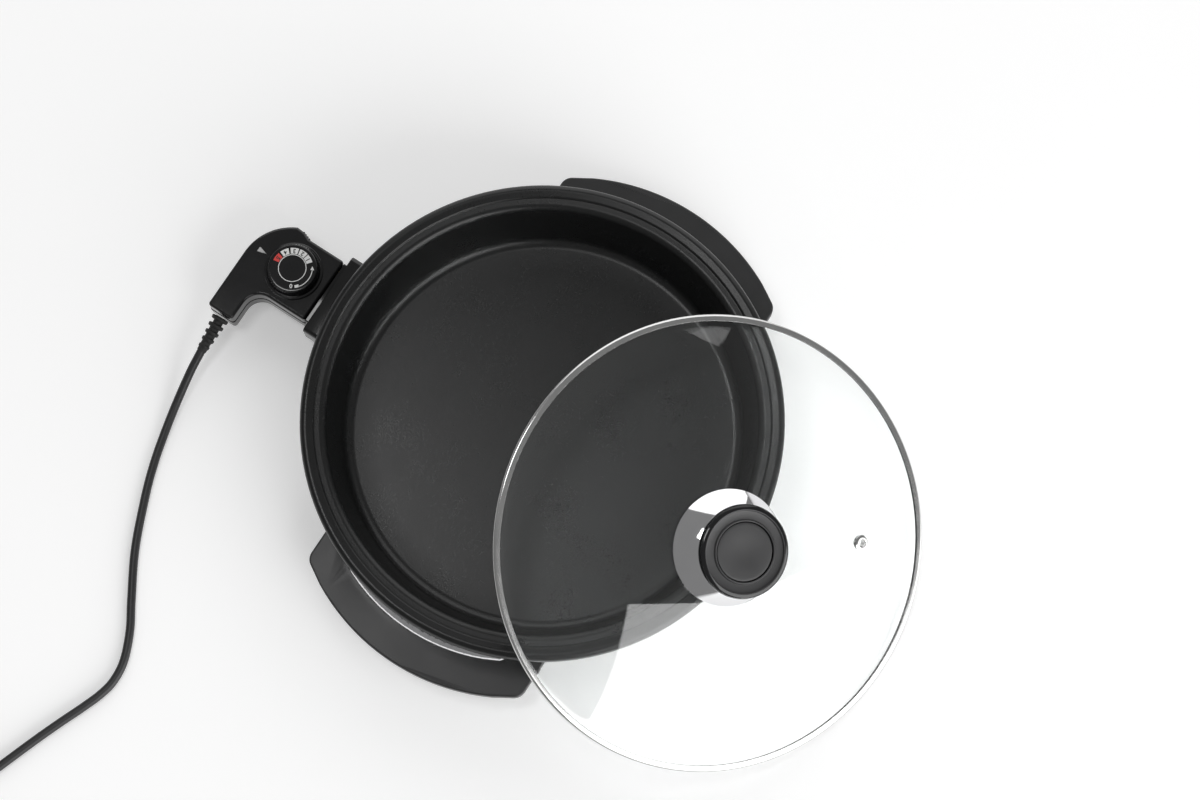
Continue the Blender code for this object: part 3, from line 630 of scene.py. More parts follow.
def tube(name, path, radius, sides):
    """A curve with a round section through all the points of a path."""
    curve = bpy.data.curves.new(name, "CURVE")
    curve.dimensions = "3D"
    curve.bevel_depth = radius
    curve.bevel_resolution = sides // 4 - 1
    curve.use_fill_caps = True
    spline = curve.splines.new("POLY")
    spline.points.add(len(path) - 1)
    for spot, point in zip(spline.points, path):
        spot.co = (*point, 1)
    spline.use_smooth = True
    made = bpy.data.objects.new(name, curve)
    link(made)
    return made


def between(root, tip):
    """A frame at root whose Z points to tip."""
    heading = Vector(tip) - Vector(root)
    return shift(root) @ heading.to_track_quat("Z", "Y").to_matrix().to_4x4()


def strain_relief():
    """The ribbed sleeve where the cord leaves the control."""
    length = (Vector(RELIEF_TIP) - Vector(RELIEF_ROOT)).length
    ribs, taper = 5, (0.0076, 0.005)
    profile = [(0, 0), (0.0046, 0)]
    for k in range(ribs):
        low, high = length * k / ribs, length * (k + 0.62) / ribs
        r = taper[0] + (taper[1] - taper[0]) * k / (ribs - 1)
        core = 0.0044 - 5e-5 * k
        profile += [(core, low + 0.0002), (r - 0.0006, low + 0.0004), (r, low + 0.001),
                    (r - 0.0002, high - 0.001), (r - 0.0008, high - 0.0004), (core, high)]
    profile += [(0.0042, length - 0.0012), (0.004, length), (0, length)]
    relief = turned("cord_strain_relief", profile, 64, smooth=40)
    place(relief, PAN @ between(RELIEF_ROOT, RELIEF_TIP))
    return show(relief, "control", "rubber", "strain_relief")


def mains_plug(at):
    """A round plug with a ribbed tail and finger grooves."""
    total = MAINS_TAIL + MAINS_LENGTH
    profile = [(0, 0.0006), (0.0048, 0.0004), (0.0055, 0.0012)]
    for k in range(4):
        low, r = 0.003 + 0.0058 * k, 0.0062 + 0.0007 * k
        profile += [(r - 0.0009, low), (r, low + 0.0006), (r + 0.0002, low + 0.0032),
                    (r - 0.0007, low + 0.0038)]
    profile += [(0.0085, MAINS_TAIL * 0.93), (0.0105, MAINS_TAIL - 0.0012),
                (0.015, MAINS_TAIL + 0.0008)]
    profile += arc((MAINS_R - 0.005, MAINS_TAIL + 0.007), 0.005, 70, 0, 5)
    profile += [(MAINS_R, total - 0.006), (MAINS_R - 0.0007, total - 0.0054),
                (MAINS_R - 0.0007, total - 0.004), (MAINS_R, total - 0.0034),
                (MAINS_R, total - 0.0012), (MAINS_R - 0.001, total), (0, total)]
    plug = turned("mains_plug_body", profile, TURNED, smooth=35)
    aside = shift((MAINS_R + 0.0012, 0, 0))
    for turn in range(0, 360, 30):
        groove = rod("groove", 0.0022, (0, 0, MAINS_TAIL + 0.011), (0, 0, total - 0.009), 20)
        place(groove, rotation(radians(turn + 15)) @ aside)
        combine(plug, groove)
    closed_up(plug, 35)
    place(plug, at)
    return show(plug, "control", "rubber", "mains_plug")


def plug_pins(at):
    """Two round pins, sleeved at the root."""
    total = MAINS_TAIL + MAINS_LENGTH
    sleeve, tip = total + 0.01, total + 0.019
    across = at.to_3x3().inverted() @ Vector((-TAIL_HEADING.y, TAIL_HEADING.x, 0))
    profile = [(0, total + GAP), (0.00205, total + GAP), (0.00205, total + 0.0098),
               (0.0024, total + 0.0103), (0.0024, total + 0.0172), (0.0021, total + 0.0183),
               (0.0013, total + 0.0189), (0, tip)]
    pins = []
    for label, sway in (("left", PIN_SPREAD), ("right", -PIN_SPREAD)):
        pin = turned("plug_pin_" + label, profile, SMALL)
        place(pin, at @ shift(across * sway))
        show(pin, "control", "stainless", "mains_pin_" + label)
        second_finish(pin, "rubber", lambda p, n: (at.inverted() @ p).z < sleeve)
        pins.append(pin)
    return pins


def mains_lead():
    """The cord and the pieces on it."""
    path = cord_path()
    lead = tube("mains_cord", path, CORD_D / 2, 24)
    show(lead, "control", "cord_rubber", "power_cord", "cord_coil", "cord_tail")
    relief = strain_relief()
    end = Vector((path[-1].x, path[-1].y, MAINS_R + 0.0001))
    at = between(end, end + TAIL_HEADING)
    plug = mains_plug(at)
    pins = plug_pins(at)
    strap = cord_strap()


def cord_strap():
    """A flat strap looped once round the windings, with a small buckle on top."""
    slack, thick, half, corner = 0.0004, 0.0006, 0.005, 0.0028
    inside, outside = COIL_R[0] - slack, COIL_R[1] + slack
    low, high = COIL_Z[0] - slack, COIL_Z[1] + slack

    def loop(name, grow, reach):
        x0, x1, y0, y1, r = inside - grow, outside + grow, low - grow, high + grow, corner + grow
        outline = (arc((x1 - r, y1 - r), r, 0, 90, 6) + arc((x0 + r, y1 - r), r, 90, 180, 6)
                   + arc((x0 + r, y0 + r), r, 180, 270, 6) + arc((x1 - r, y0 + r), r, 270, 360, 6))
        return plate(name, outline, -reach, reach)

    strap = combine(loop("cord_strap", thick, half), loop("hole", 0.0, half * 2))
    buckle = block("buckle", (0.0375, high + 0.0004, -0.003), (0.0455, high + 0.0016, 0.003))
    soften(buckle, 0.0004, 2)
    weld(strap, buckle)
    closed_up(strap)
    upright = rotation(TIE_ANGLE) @ rotation(radians(90), "X")
    place(strap, PAN @ shift((*COIL_CENTRE, 0)) @ upright)
    return show(strap, "control", "rubber", "cord_tie")


# ---- pan ----
def pan_profile():
    """Half the pan's section: its inside, the rim, its outside and underneath."""
    inner = ([(0, FLOOR_Z), (0.04, FLOOR_Z), (0.09, FLOOR_Z), (0.14, FLOOR_Z)]
             + arc((0.1595, FLOOR_Z + 0.01), 0.01, 270, 349, 9)
             + arc((0.185, 0.088), 0.0072, 170, 95, 12))
    step = [(0.1874, 0.0952), (0.188, 0.0953), (0.1884, 0.0957), (0.1888, 0.0963),
            (0.1893, 0.0968), (0.19, 0.097)]
    crown = arc((RIM_R - 0.005, RIM_Z - 0.005), 0.005, 112, 0, 12)
    lip = [(RIM_R, 0.0866), (0.1997, 0.0852), (0.1988, 0.0846), (0.1978, 0.0848),
           (0.1973, 0.0856), (0.1966, 0.0905)]
    outer = arc((0.1935, 0.0905), 0.0018, 60, 110, 3)
    outer += [(0.188, 0.0912), (0.1848, 0.0899), (0.1826, 0.0872), (0.1806, 0.083),
              (0.1728, 0.043), (0.1717, 0.0385), (0.1694, 0.035), (0.166, 0.0328),
              (0.1625, UNDER_Z), (0.14, UNDER_Z)]
    foot = UNDER_Z - 0.0055
    for r in (0.1115, 0.1005):
        outer += [(r, UNDER_Z), (r, foot + 0.0006), (r - 0.0006, foot), (r - 0.0014, foot),
                  (r - 0.002, foot + 0.0006), (r - 0.002, UNDER_Z)]
    return inner + step + crown + lip + outer + [(0.05, UNDER_Z), (0, UNDER_Z)]


def pan():
    """Non-stick inside and over the rim, enamel outside and underneath."""
    body = turned("pan_shell", pan_profile(), ROUND, smooth=32)
    place(body, PAN)
    show(body, "pan", "nonstick", "pan_body")

    def outside(p, n):
        outwards = Vector((p.x, p.y - PAN_Y)) @ n.xy > 0
        return n.z < -0.3 or (p.z < 0.087 and outwards)
    second_finish(body, "enamel", outside)
    bosses()


def boss_spot(lift):
    """The right handle's front (1) or back (-1) screw boss."""
    return BOSS_R * cos(BOSS_ANGLE), lift * BOSS_R * sin(BOSS_ANGLE)


def boss_places():
    """All the screw bosses under the pan's floor."""
    reach, spread = boss_spot(1)
    spots = [(side * reach, lift * spread) for side in (1, -1) for lift in (1, -1)]
    return spots + [SHROUD_BOSS, (-SHROUD_BOSS[0], SHROUD_BOSS[1])]


def bosses():
    """Screw bosses under the floor, and the one that takes the temperature probe."""
    profile = [(0.0023, UNDER_Z - 0.0002), (0.0023, BOSS_Z), (0.0058, BOSS_Z),
               (0.0064, BOSS_Z + 0.0006), (0.0066, UNDER_Z - 0.0012), (0.0078, UNDER_Z - 0.0002)]
    first = turned("floor_boss_0", profile, 40, ring=True)
    for k, (x, y) in enumerate(boss_places()):
        boss = copied(first, f"floor_boss_{k + 1}", PAN @ shift((x, y, 0)))
        show(boss, "pan", "enamel")
    bpy.data.objects.remove(first)
    length = 0.037
    profile = [(0, 0), (0.006, 0), (0.007, 0.001), (0.007, length - 0.002),
               (0.0064, length - 0.0006), (0.005, length), (0, length)]
    probe_boss = turned("probe_boss", profile, 48)
    combine(probe_boss, rod("bore", PROBE_BORE_R, (0, 0, -0.01), (0, 0, length - 0.005)))
    above = -(UNDER_Z - ELEMENT_Z) + 0.0002
    combine(probe_boss, block("trim", (-0.02, -0.02, -0.02), (0.02, above, 0.06)))
    closed_up(probe_boss)
    lay = shift((0, -0.166, ELEMENT_Z)) @ rotation(radians(-90), "X")
    place(probe_boss, PAN @ lay)
    show(probe_boss, "pan", "enamel")


def heating_element():
    """A sheathed ring whose ends bend out to the terminals."""
    bend = 0.012
    bend_x = TERMINAL[0] + bend
    bend_y = -sqrt((ELEMENT_R + bend) ** 2 - bend_x ** 2)
    meet = degrees(atan2(bend_y, bend_x))
    right = [TERMINAL, (TERMINAL[0], -0.14), (TERMINAL[0], -0.132)]
    right += arc((bend_x, bend_y), bend, 180, 180 + meet, 12)[:-1]
    left = [(-x, y) for x, y in reversed(right)]
    ring = arc((0, 0), ELEMENT_R, meet, 180 - meet, 120)
    path = [PAN @ Vector((x, y, ELEMENT_Z)) for x, y in right + ring + left]
    sheath = tube("element_sheath", path, 0.004, 24)
    show(sheath, "pan", "element_steel", "heating_element")


def rounded(corners, steps):
    """An outline whose corners (x, y, radius) are replaced by arcs."""
    outline = []
    before, after = corners[-1:] + corners[:-1], corners[1:] + corners[:1]
    for (ax, ay, _), (x, y, r), (bx, by, _) in zip(before, corners, after):
        if r == 0:
            outline.append((x, y))
            continue
        back = Vector((ax - x, ay - y)).normalized()
        on = Vector((bx - x, by - y)).normalized()
        half = back.angle(on) / 2
        centre = Vector((x, y)) + (back + on).normalized() * (r / sin(half))
        start = Vector((x, y)) + back * (r / tan(half)) - centre
        end = Vector((x, y)) + on * (r / tan(half)) - centre
        sweep = start.angle_signed(end)
        for k in range(steps + 1):
            spoke = start.copy()
            spoke.rotate(Matrix.Rotation(-sweep * k / steps, 2))
            outline.append(tuple(centre + spoke))
    return outline


def crescent(name, arc_of, inner_r, half, heights, rounding):
    """A plate between an outer arc and the pan's own circle, with round corners."""
    centre, outer_r = arc_of
    outer_spread = degrees(asin(half / outer_r))
    inner_spread = degrees(asin(half / inner_r))
    sides = []
    for middle, radius, spread, reach, turn in (
            (centre, outer_r, outer_spread, rounding[0], 1),
            (0, inner_r, inner_spread, rounding[1], -1)):
        ends = arc((middle, 0), radius, -spread * turn, spread * turn, 1)
        trim = degrees(reach * 2.2 / radius)
        inside = arc((middle, 0), radius, (trim - spread) * turn, (spread - trim) * turn, 48)
        sides += [(*ends[0], reach), *[(x, y, 0) for x, y in inside], (*ends[1], reach)]
    made = plate(name, rounded(sides, 8), *heights)
    edit(made)
    strips = 24
    for k in range(1, strips):
        pick_all()
        bpy.ops.mesh.bisect(plane_co=(0, half * (2 * k / strips - 1), 0), plane_no=(0, 1, 0))
    pick_all()
    bpy.ops.mesh.remove_doubles(threshold=0.0004)
    return closed_up(made)


def screw(name, head_r, head_low, head_high, tip):
    """A pan-head screw pointing up, with a cross recess."""
    deep, reach = head_high - head_low, head_r * 0.62
    profile = [(0, head_low), (head_r * 0.55, head_low), (head_r * 0.85, head_low + deep * 0.22),
               (head_r, head_low + deep * 0.6), (head_r, head_high), (0.0016, head_high),
               (0.0016, tip - 0.001), (0.0008, tip), (0, tip)]
    made = turned(name, profile, SMALL)
    for turn in (0, 90):
        slot = block("slot", (-reach, -0.0005, head_low - 0.001),
                     (reach, 0.0005, head_low + deep * 0.55))
        combine(made, place(slot, rotation(radians(turn))))
    return closed_up(made)


def handle_shape():
    """A crescent with two legs, and two tabs that reach under the pan."""
    handle = crescent("handle", HANDLE_ARC, HANDLE_INNER_R, HANDLE_HALF, HANDLE_Z, (0.011, 0.003))
    foot, top = HANDLE_Z[0] - 0.003, HANDLE_Z[0] + 0.003
    profile = [(0, PAD_T), (0.01, PAD_T), (0.0105, PAD_T + 0.0005), (0.0118, foot)]
    profile += arc((0.0148, foot), 0.003, 180, 100, 4)[1:] + [(0.0146, top), (0, top)]
    for lift in (1, -1):
        tab = block("tab", (BOSS_R - 0.0085, -0.0085, 0.0215), (0.195, 0.0085, BOSS_Z - GAP))
        soften(tab, 0.001, 2)
        weld(handle, place(tab, rotation(lift * BOSS_ANGLE)))
        leg = turned("leg", profile, 64)
        weld(handle, place(leg, shift((LEG_XY[0], lift * LEG_XY[1], 0))))
        spot = boss_spot(lift)
        combine(handle, rod("hole", FIXING_R, (*spot, 0.01), (*spot, 0.03)))
    round_edges(handle, rim_edges(HANDLE_Z[1]), 0.0016, 5)
    edit(handle)
    pick_all()
    bpy.ops.mesh.dissolve_limited(angle_limit=radians(1))
    return closed_up(handle, 14)


def bracket_shape():
    """The bright bracket between a handle and the pan, its upper edge well rounded."""
    bracket = crescent("bracket", BRACKET_ARC, BRACKET_INNER_R, BRACKET_HALF,
                       (HANDLE_Z[1] + GAP, BRACKET_TOP), (0.008, 0.0004))

    def top_outer(a, b):
        on_top = min(a.z, b.z) > BRACKET_TOP - LEVEL
        return on_top and max(a.xy.length, b.xy.length) > BRACKET_INNER_R + 0.0004
    round_edges(bracket, top_outer, 0.0058, 8)
    return closed_up(bracket, 35)


def handles():
    """Both handles with their brackets, feet and screws."""
    handle, bracket = handle_shape(), bracket_shape()
    pad = turned("pad", [(0, 0), (0.009, 0), (0.0096, 0.0002), (0.0103, 0.0008),
                         (0.0105, 0.0014), (0.0105, PAD_T - GAP), (0, PAD_T - GAP)], 64)
    fixing = screw("fixing", 0.004, 0.0184, 0.0212, 0.033)
    for side, turn in (("right", 0.0), ("left", pi)):
        at = PAN @ rotation(turn)
        show(copied(handle, "side_handle_" + side, at), "pan", "phenolic", "handle_" + side)
        held = copied(bracket, "side_bracket_" + side, at)
        show(held, "pan", "chrome", "handle_bracket_" + side)
        for end, lift in (("front", 1), ("back", -1)):
            label = f"{side}_{end}"
            leg = shift((LEG_XY[0], lift * LEG_XY[1], 0))
            show(copied(pad, "foot_" + label, at @ leg), "pan", "rubber", "foot_pad_" + label)
            held = copied(fixing, "handle_fixing_" + label,
                          at @ shift((*boss_spot(lift), 0)))
            show(held, "pan", "screw_steel", "handle_screw_" + label)
    shroud(fixing)
    for tool in (handle, bracket, pad, fixing):
        bpy.data.objects.remove(tool)


def shroud(fixing):
    """The box round the inlet pins, screwed under the pan."""
    x, y0, y1, z0, z1 = 0.0385, -0.22, -0.179, 0.013, 0.0415
    wall = 0.003
    box = block("inlet_box", (-x, y0, z0), (x, y1, z1))

    def lengthways(a, b):
        return abs(a.y - b.y) > 0.02
    round_edges(box, lengthways, 0.004, 6)

    def at_an_end(a, b):
        return min(abs(a.y - y0) + abs(b.y - y0), abs(a.y - y1) + abs(b.y - y1)) < LEVEL
    round_edges(box, at_an_end, 0.0008, 3)
    combine(box, block("mouth", (-x + wall, y0 - 0.01, z0 + wall),
                       (x - wall, y1 - wall, z1 - wall)))
    combine(box, block("passage", (-0.0275, y0, 0.0195), (0.0275, y1 + 0.01, 0.036)))
    for number, side, label in ((3, 1, "right"), (1, -1, "left")):
        tab_x = side * (SHROUD_BOSS[0] - 0.002)
        weld(box, block("tab", (tab_x - 0.0065, -0.1505, 0.0235),
                        (tab_x + 0.0065, y1 - 0.001, BOSS_Z - GAP)))
        spot = (side * SHROUD_BOSS[0], SHROUD_BOSS[1])
        combine(box, rod("hole", FIXING_R, (*spot, 0.02), (*spot, 0.03)))
        held = copied(fixing, f"inlet_fixing_{number}",
                      PAN @ shift((*spot, 0.0021)))
        show(held, "pan", "screw_steel", "shroud_screw_" + label)
    closed_up(box)
    show(place(box, PAN), "pan", "polished_phenolic", "inlet_shroud")


# ---- lid ----
def lid_frame():
    """At the ring's centre, Z out of the dome, the ring's low edge on the table."""
    section = [(RING_INNER, -RING_HALF), (0.188, -RING_HALF), (RING_R, -0.0014)]
    height = max(r * sin(LID_TILT) - z * cos(LID_TILT) for r, z in section)
    aside = Vector((cos(LID_BEARING), sin(LID_BEARING), 0)) * LID_OFFSET
    turn = rotation(LID_BEARING) @ rotation(LID_TILT, "Y")
    return PAN @ shift((aside.x, aside.y, height)) @ turn


def dome(r):
    """Top of the glass above the ring's plane, eased into its flat edge."""
    drop = 1 - (r / DOME_R) ** DOME_POWER
    return GLASS_T / 2 + (DOME_H - GLASS_T / 2) * (drop + sqrt(drop * drop + 0.0009)) / 2


def lid_ring(at):
    """The rolled steel ring round the glass, open inwards."""
    lip, middle = 0.0021, RING_R - RING_HALF
    section = ([(RING_INNER, RING_HALF)] + arc((middle, 0), RING_HALF, 90, -90, 12)
               + [(RING_INNER, -RING_HALF), (0.1836, -0.00235), (RING_INNER, -lip)]
               + arc((middle, 0), lip, -90, 90, 8) + [(RING_INNER, lip), (0.1836, 0.00235)])
    ring = turned("lid_ring", section, ROUND, ring=True)
    show(place(ring, at), "lid", "stainless", "lid_rim")


def lid_pane(at):
    """The domed glass with holes for the knob's screw and the eyelet."""
    edge = GLASS_T / 2
    radii = [0.004, 0.02] + [0.036 + 0.0095 * k for k in range(15)]
    radii += [0.1752, 0.1778, 0.18, 0.182, 0.184]
    top = [(r, dome(r)) for r in radii]
    under = [(r, z - GLASS_T) for r, z in reversed(top)]
    rounded_edge = arc((0.1858, dome(0.1858) - edge), edge, 90, -90, 6)
    pane = turned("lid_pane", top + rounded_edge + under, ROUND, ring=True, smooth=40)
    vent = rod("vent", 0.0052, (0, 0, -0.01), (0, 0, 0.01), 48)
    combine(pane, place(vent, vent_frame()))
    closed_up(pane, 40)
    show(place(pane, at), "lid", "glass", "lid_glass")


def steam_eyelet(at):
    """A riveted eyelet through the glass."""
    low = -GLASS_T - 0.0004
    section = [(0.0029, 0.0006), (0.0034, 0.0012), (0.0044, 0.0014), (0.0056, 0.0011),
               (0.0066, 0.0005), (0.0068, 0.0001), (0.0066, -0.0001), (0.0048, 0.0001),
               (0.0047, low), (0.006, low), (0.0062, low - 0.0003), (0.0058, low - 0.0006),
               (0.0029, low - 0.0006)]
    eyelet = turned("steam_eyelet", section, 64, ring=True)
    show(place(eyelet, at @ vent_frame()), "lid", "stainless", "vent_eyelet")


def lid():
    """The lid, leaning on the pan's rim."""
    at = lid_frame()
    lid_ring(at)
    lid_pane(at)
    steam_eyelet(at)
    knob_skirt(at)
    knob_grip(at)
    knob_medallion(at)


def vent_frame():
    """On top of the glass at the vent, Z square to it."""
    slope = (dome(VENT_R + 0.001) - dome(VENT_R - 0.001)) / 0.002
    lean = shift((VENT_R, 0, dome(VENT_R))) @ rotation(-atan(slope), "Y")
    return rotation(VENT_ANGLE) @ lean


def knob_skirt(at):
    """The plated skirt, flared and hollow underneath."""
    flare = [(0.024 + 0.024 * k / 14, 0.0522 - 0.017 * (k / 14) ** 1.35) for k in range(15)]
    under = [(0.048, 0.0345), (0.0479, 0.0336), (0.0474, 0.0333), (0.0466, 0.0335),
             (0.044, 0.037), (0.037, 0.043), (0.029, 0.0478), (0.0235, 0.0506),
             (0.014, 0.0508), (0.014, 0.0358), (0.0035, 0.0358)]
    base = turned("knob_flare", [(0.0035, 0.0522)] + flare + under, TURNED, ring=True)
    show(place(base, at), "lid", "chrome", "knob_skirt")


def knob_grip(at):
    """The black grip, with a satin channel round the medallion; the same satin finish on the thin
    lips either side of the channel is a painted highlight that makes them read as light lines.
    """
    wall = [(0.028, 0.0525), (0.0296, 0.0536), (0.0312, 0.0556), (0.034, 0.059),
            (0.0363, 0.0622), (0.0377, 0.065), (0.0383, 0.0675), (0.0382, 0.0694),
            (0.0375, 0.0711), (0.0362, 0.0721)]
    lip = arc((0.0342, 0.0716), 0.0009, 75, 180, 6)
    channel = [(0.033, 0.0709), (0.0324, 0.0707), (0.0265, 0.0707)]
    collar = arc((0.0252, 0.0714), 0.0007, 15, 178, 6)
    seat = [(0.0243, 0.0705), (0.0241, 0.0692), (0, 0.069)]
    bore = [(0, 0.066), (0.0024, 0.066), (0.0024, 0.0525)]
    grip = turned("knob_handle", bore + wall + lip + channel + collar + seat, TURNED)
    show(grip, "lid", "gloss_plastic", "knob_grip")
    # Satin on the channel is the knob's own finish; on the two lips beside it the lighter satin is
    # a painted highlight.
    second_finish(grip, "knob_satin",
                  lambda p, n: p.z > 0.0704 and 0.0244 < p.xy.length < 0.0351)
    place(grip, at)


def knob_medallion(at):
    """The plain disc on top of the knob."""
    face = [(0, 0.0693), (0.0238, 0.0693)] + arc((0.0232, 0.0703), 0.0006, 0, 90, 4)
    face += [(0.0215 - 0.0215 * k / 10, 0.0709 - 0.0006 * ease(k / 10)) for k in range(10)]
    medallion = turned("knob_medallion", face + [(0, 0.0703)], TURNED)
    show(place(medallion, at), "lid", "knob_satin", "knob_cap")


# ---- thermostat control ----
def control_outline(shrink=0.0):
    """Body and side grip in one outline, seen from above."""
    x, y, r = CORNER
    fillet = 0.015 + shrink
    s, soft = shrink, 0.0024
    half, front, back = CONTROL_HALF - s, CONTROL_FRONT - s, CONTROL_BACK + s
    end_x, inner_y = GRIP_END_X - s, GRIP_INNER - s
    corner = arc((x, y), r - s, 206, 270, 24)
    body = arc((half - soft, front - soft), soft, 0, 90, 5)
    body += arc((-half + soft, front - soft), soft, 90, 180, 5)
    flank = [(-half, -0.26), (corner[0][0] + 0.0008, -0.266)]
    end = arc((end_x - 0.003, back + 0.003), 0.003, 270, 360, 6)
    end += arc((end_x - 0.003, inner_y - 0.003), 0.003, 0, 90, 6)
    inner = arc((CONTROL_HALF + 0.015, GRIP_INNER + 0.015), fillet, 270, 180, 16)
    return body + flank + corner + end + inner


def hollowed(made, split, wall, depth):
    """Open a tray at its split face."""
    edit(made)
    pick("FACE", lambda p, n: abs(p.z - split) < LEVEL and abs(n.z) > 0.9)
    bpy.ops.mesh.inset(thickness=wall)
    extrude(depth)
    done()


def rim_edges(height):
    """A test for edges that lie at a height."""
    return lambda a, b: abs(a.z - height) < LEVEL and abs(b.z - height) < LEVEL


def bored(made, low, high):
    """Passages for the two contact sleeves and the probe."""
    for x, r in ((-TERMINAL[0], SLEEVE_BORE_R), (TERMINAL[0], SLEEVE_BORE_R), (0, PROBE_BORE_R)):
        combine(made, rod("bore", r, (x, low, ELEMENT_Z), (x, high, ELEMENT_Z)))


def control_tray():
    """The lower half, with the nose that plugs into the shroud."""
    low, split = CONTROL_Z[0], CONTROL_SPLIT - GAP / 2
    tray = plate("control_tray", control_outline(), low, split)
    round_edges(tray, rim_edges(low), 0.0016, 4)
    round_edges(tray, rim_edges(split), 0.0003, 2)
    hollowed(tray, split, CONTROL_WALL, -(CONTROL_SPLIT - low - 0.0028))
    nose = block("nose", (-0.03, CONTROL_FRONT + 0.0001, 0.018), (0.03, -0.188, 0.0365))
    round_edges(nose, lambda a, b: max(a.y, b.y) > CONTROL_FRONT + 0.01, 0.0012, 3)
    weld(tray, nose)
    weld(tray, block("tongue", (-0.029, CONTROL_FRONT - 0.002, 0.0185),
                     (0.029, CONTROL_FRONT + 0.002, 0.0255)))
    bored(tray, -0.24, -0.18)
    closed_up(tray, 35)
    show(place(tray, PAN), "control", "gloss_plastic", "control_base")


def control_lid():
    """The upper half, with ribs, the spindle's hole and the pointer's window."""
    split, high = CONTROL_SPLIT + GAP / 2, CONTROL_Z[1]
    cover = plate("control_lid", control_outline(0.0004), split, high)
    round_edges(cover, rim_edges(high), 0.0022, 5)
    round_edges(cover, rim_edges(split), 0.0003, 2)
    hollowed(cover, split, CONTROL_WALL, high - CONTROL_SPLIT - 0.0028)
    for k in range(4):
        t = (k + 0.6) / 4
        x, y = -0.0306 - 0.0034 * t, -0.259 - 0.0095 * t
        weld(cover, rod("rib", 0.0008, (x, y, CONTROL_SPLIT + 0.001), (x, y, high - 0.003), 16))
    combine(cover, rod("spindle", 0.0045, (*DIAL_XY, 0.035), (*DIAL_XY, 0.05)))
    combine(cover, plate("window", pointer_outline(0.0004), 0.036, 0.045))
    bored(cover, -0.24, -0.2)
    closed_up(cover, 35)
    show(place(cover, PAN), "control", "gloss_plastic", "control_cover")


def control():
    """The plug-in thermostat: its housing, pointer and dial."""
    control_tray()
    control_lid()
    lens = plate("pointer_lens", pointer_outline(0.0), 0.0375, 0.0413)
    soften(lens, 0.0003, 2)
    show(place(lens, PAN), "control", "lens", "pilot_lens")
    at = PAN @ shift((*DIAL_XY, 0))
    dial(at)
    dial_print(at)


def pointer_outline(grow):
    """The triangular window that points at the dial."""
    foot, half = -0.2915 - grow, 0.0024 + grow
    return [(-half, foot), (half, foot), (0, -0.283 + 2.0 * grow)]


def dial(at):
    """The dial, with a knurled side and a flange under it."""
    profile = [(0, 0.048), (0.0033, 0.048), (0.0033, 0.0414), (0.0246, 0.0414),
               (0.025, 0.0418), (0.025, 0.0427), (0.0246, 0.0431), (0.0232, 0.0434),
               (0.0226, 0.0442), (0.0224, 0.045), (0.0214, 0.05), (0.0211, 0.0508)]
    profile += arc((0.0198, 0.0512), 0.0013, 10, 90, 5)
    profile += [(0.0188, 0.0525), (0.0186, DIAL_FACE), (0.006, DIAL_FACE), (0, DIAL_FACE)]
    disc = turned("dial_disc", profile, DIAL_TEETH * 2)

    def alternate(p, n):
        tooth = degrees(atan2(p.y, p.x)) / (180 / DIAL_TEETH)
        return 0.0452 < p.z < 0.0498 and (tooth + 1e-6) // 1 % 2 == 0
    edit(disc)
    pick("FACE", alternate)
    bpy.ops.mesh.extrude_region_shrink_fatten(TRANSFORM_OT_shrink_fatten={"value": 0.0005})
    closed_up(disc, 25)
    show(place(disc, at), "dial", "gloss_plastic", "control_dial")


def sector(inner, outer, start, end):
    """Part of a ring, angles in degrees."""
    steps = max(2, int(abs(end - start) / 3))
    return arc((0, 0), outer, start, end, steps) + arc((0, 0), inner, end, start, steps)


def dial_print(at):
    """A thin circle, the numbered fields 1 to 5, the 0 and the arrow."""
    top = DIAL_FACE + INK
    circle = turned("dial_circle", [(0.01145, DIAL_FACE), (0.01145, top), (0.0121, top),
                                    (0.0121, DIAL_FACE)], TURNED, ring=True)
    show(place(circle, at), "dial", "ink_white")

    def printed(name, outline, ink):
        show(place(plate(name, outline, DIAL_FACE, top), at), "dial", ink)
    half = 12.2
    for number, angle in enumerate((152, 179, 207, 237, 267), 1):
        printed(f"dial_field_{number}", sector(0.0126, 0.0178, angle - half, angle + half),
                "ink_red" if number == 5 else "ink_white")
        digit(str(number), angle, 0.0152, top, "ink_black", at)
    digit("0", 30, 0.016, DIAL_FACE, "ink_white", at)
    printed("dial_arrow_shaft", sector(0.0168, 0.0175, 52, 118), "ink_white")
    printed("dial_arrow_tail", sector(0.0152, 0.0176, 41, 54), "ink_white")
    head = [arc((0, 0), r, angle, angle, 1)[0]
            for r, angle in ((0.0189, 117), (0.0172, 128), (0.0155, 117))]
    printed("dial_arrow_head", head, "ink_white")


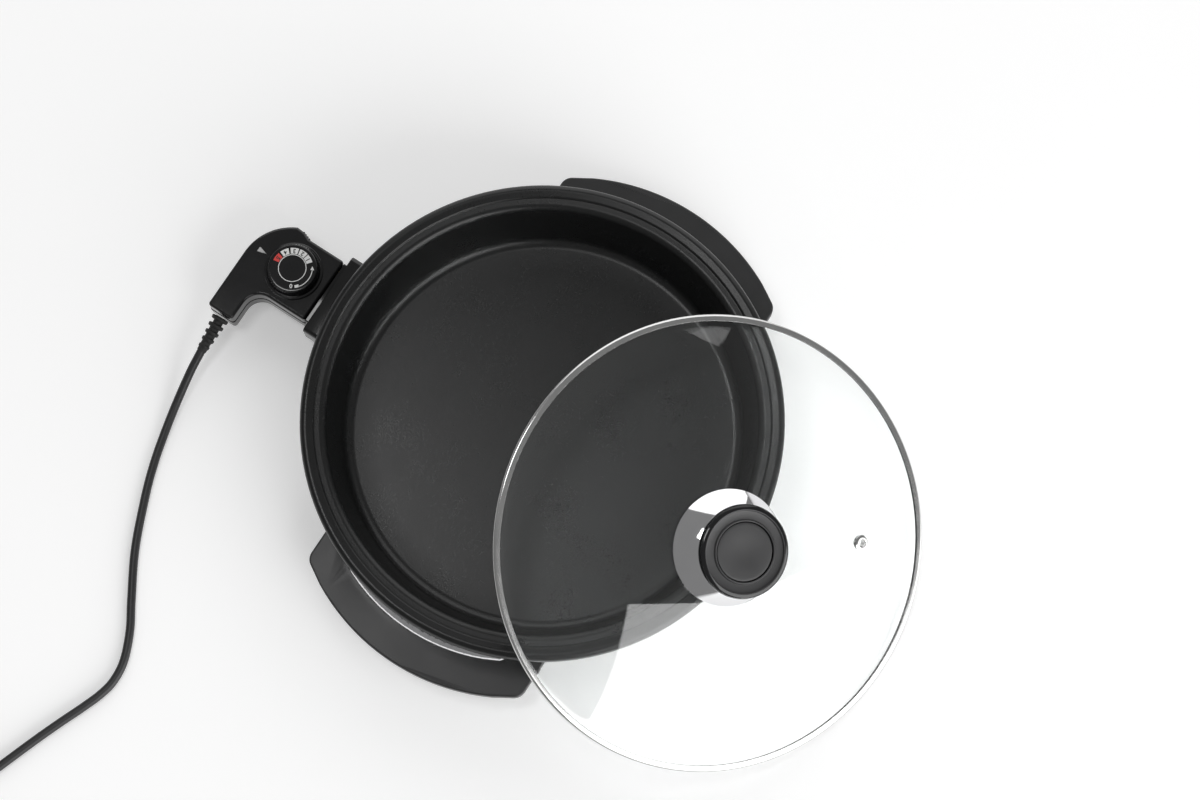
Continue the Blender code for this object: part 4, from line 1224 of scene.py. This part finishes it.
def digit(text, angle, radius, low, ink, at):
    """A numeral whose top points to the dial's centre."""
    deselect()
    bpy.ops.object.text_add(location=(0, 0, 0))
    made = bpy.context.object
    made.data.body = text
    made.data.size = 0.005
    made.data.offset = 0.00013
    made.data.align_x = "CENTER"
    made.data.align_y = "CENTER"
    made.data.extrude = INK / 2
    made.data.resolution_u = 4
    bpy.ops.object.convert(target="MESH")
    made = bpy.context.object
    made.name = made.data.name = "dial_numeral_" + text
    turn = radians(angle)
    spot = shift((radius * cos(turn), radius * sin(turn), low + INK / 2))
    place(made, at @ spot @ rotation(turn + pi / 2))
    show(closed_up(made), "dial", ink)


# ---- stage ----
def stage():
    """A pale table with a faint glow, and soft light."""
    deselect()
    bpy.ops.mesh.primitive_plane_add(size=FLOOR_SIZE, location=(0, 0, -0.0001))
    floor = named("table")

    def build(at):
        return {"Base Color": at.noise(3.0).blend(0.86, 0.88)}
    fixed = {"Roughness": 0.8, "Specular IOR Level": 0.1,
             "Emission Color": (1, 1, 1, 1), "Emission Strength": FLOOR_GLOW}
    floor.data.materials.append(surface("table", fixed, build))

    bpy.context.scene.view_settings.view_transform = "Standard"
    world = bpy.data.worlds.new("studio")
    bpy.context.scene.world = world
    world.use_nodes = True
    sky = world.node_tree.nodes["Background"].inputs
    sky["Color"].default_value = (1, 1, 1, 1)
    sky["Strength"].default_value = WORLD
    for name, spot, aim, size, spin, power in LAMPS:
        data = bpy.data.lights.new(name, "AREA")
        data.shape = "RECTANGLE"
        data.size, data.size_y = size
        data.energy = power
        lamp = bpy.data.objects.new(name, data)
        link(lamp)
        facing = (Vector(spot) - Vector(aim)).to_track_quat("Z", "Y").to_matrix().to_4x4()
        turn = facing @ rotation(radians(spin))
        lamp.matrix_world = shift(spot) @ turn


def finish_kept_nodes():
    """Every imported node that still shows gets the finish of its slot."""
    for name, node in frame["nodes"].items():
        if not node.hide_render:
            for slot in node.material_slots:
                slot.material = FINISH[SLOT[name]]


camera()
FINISH = finishes()
mains_lead()
pan()
heating_element()
handles()
lid()
control()
finish_kept_nodes()
stage()
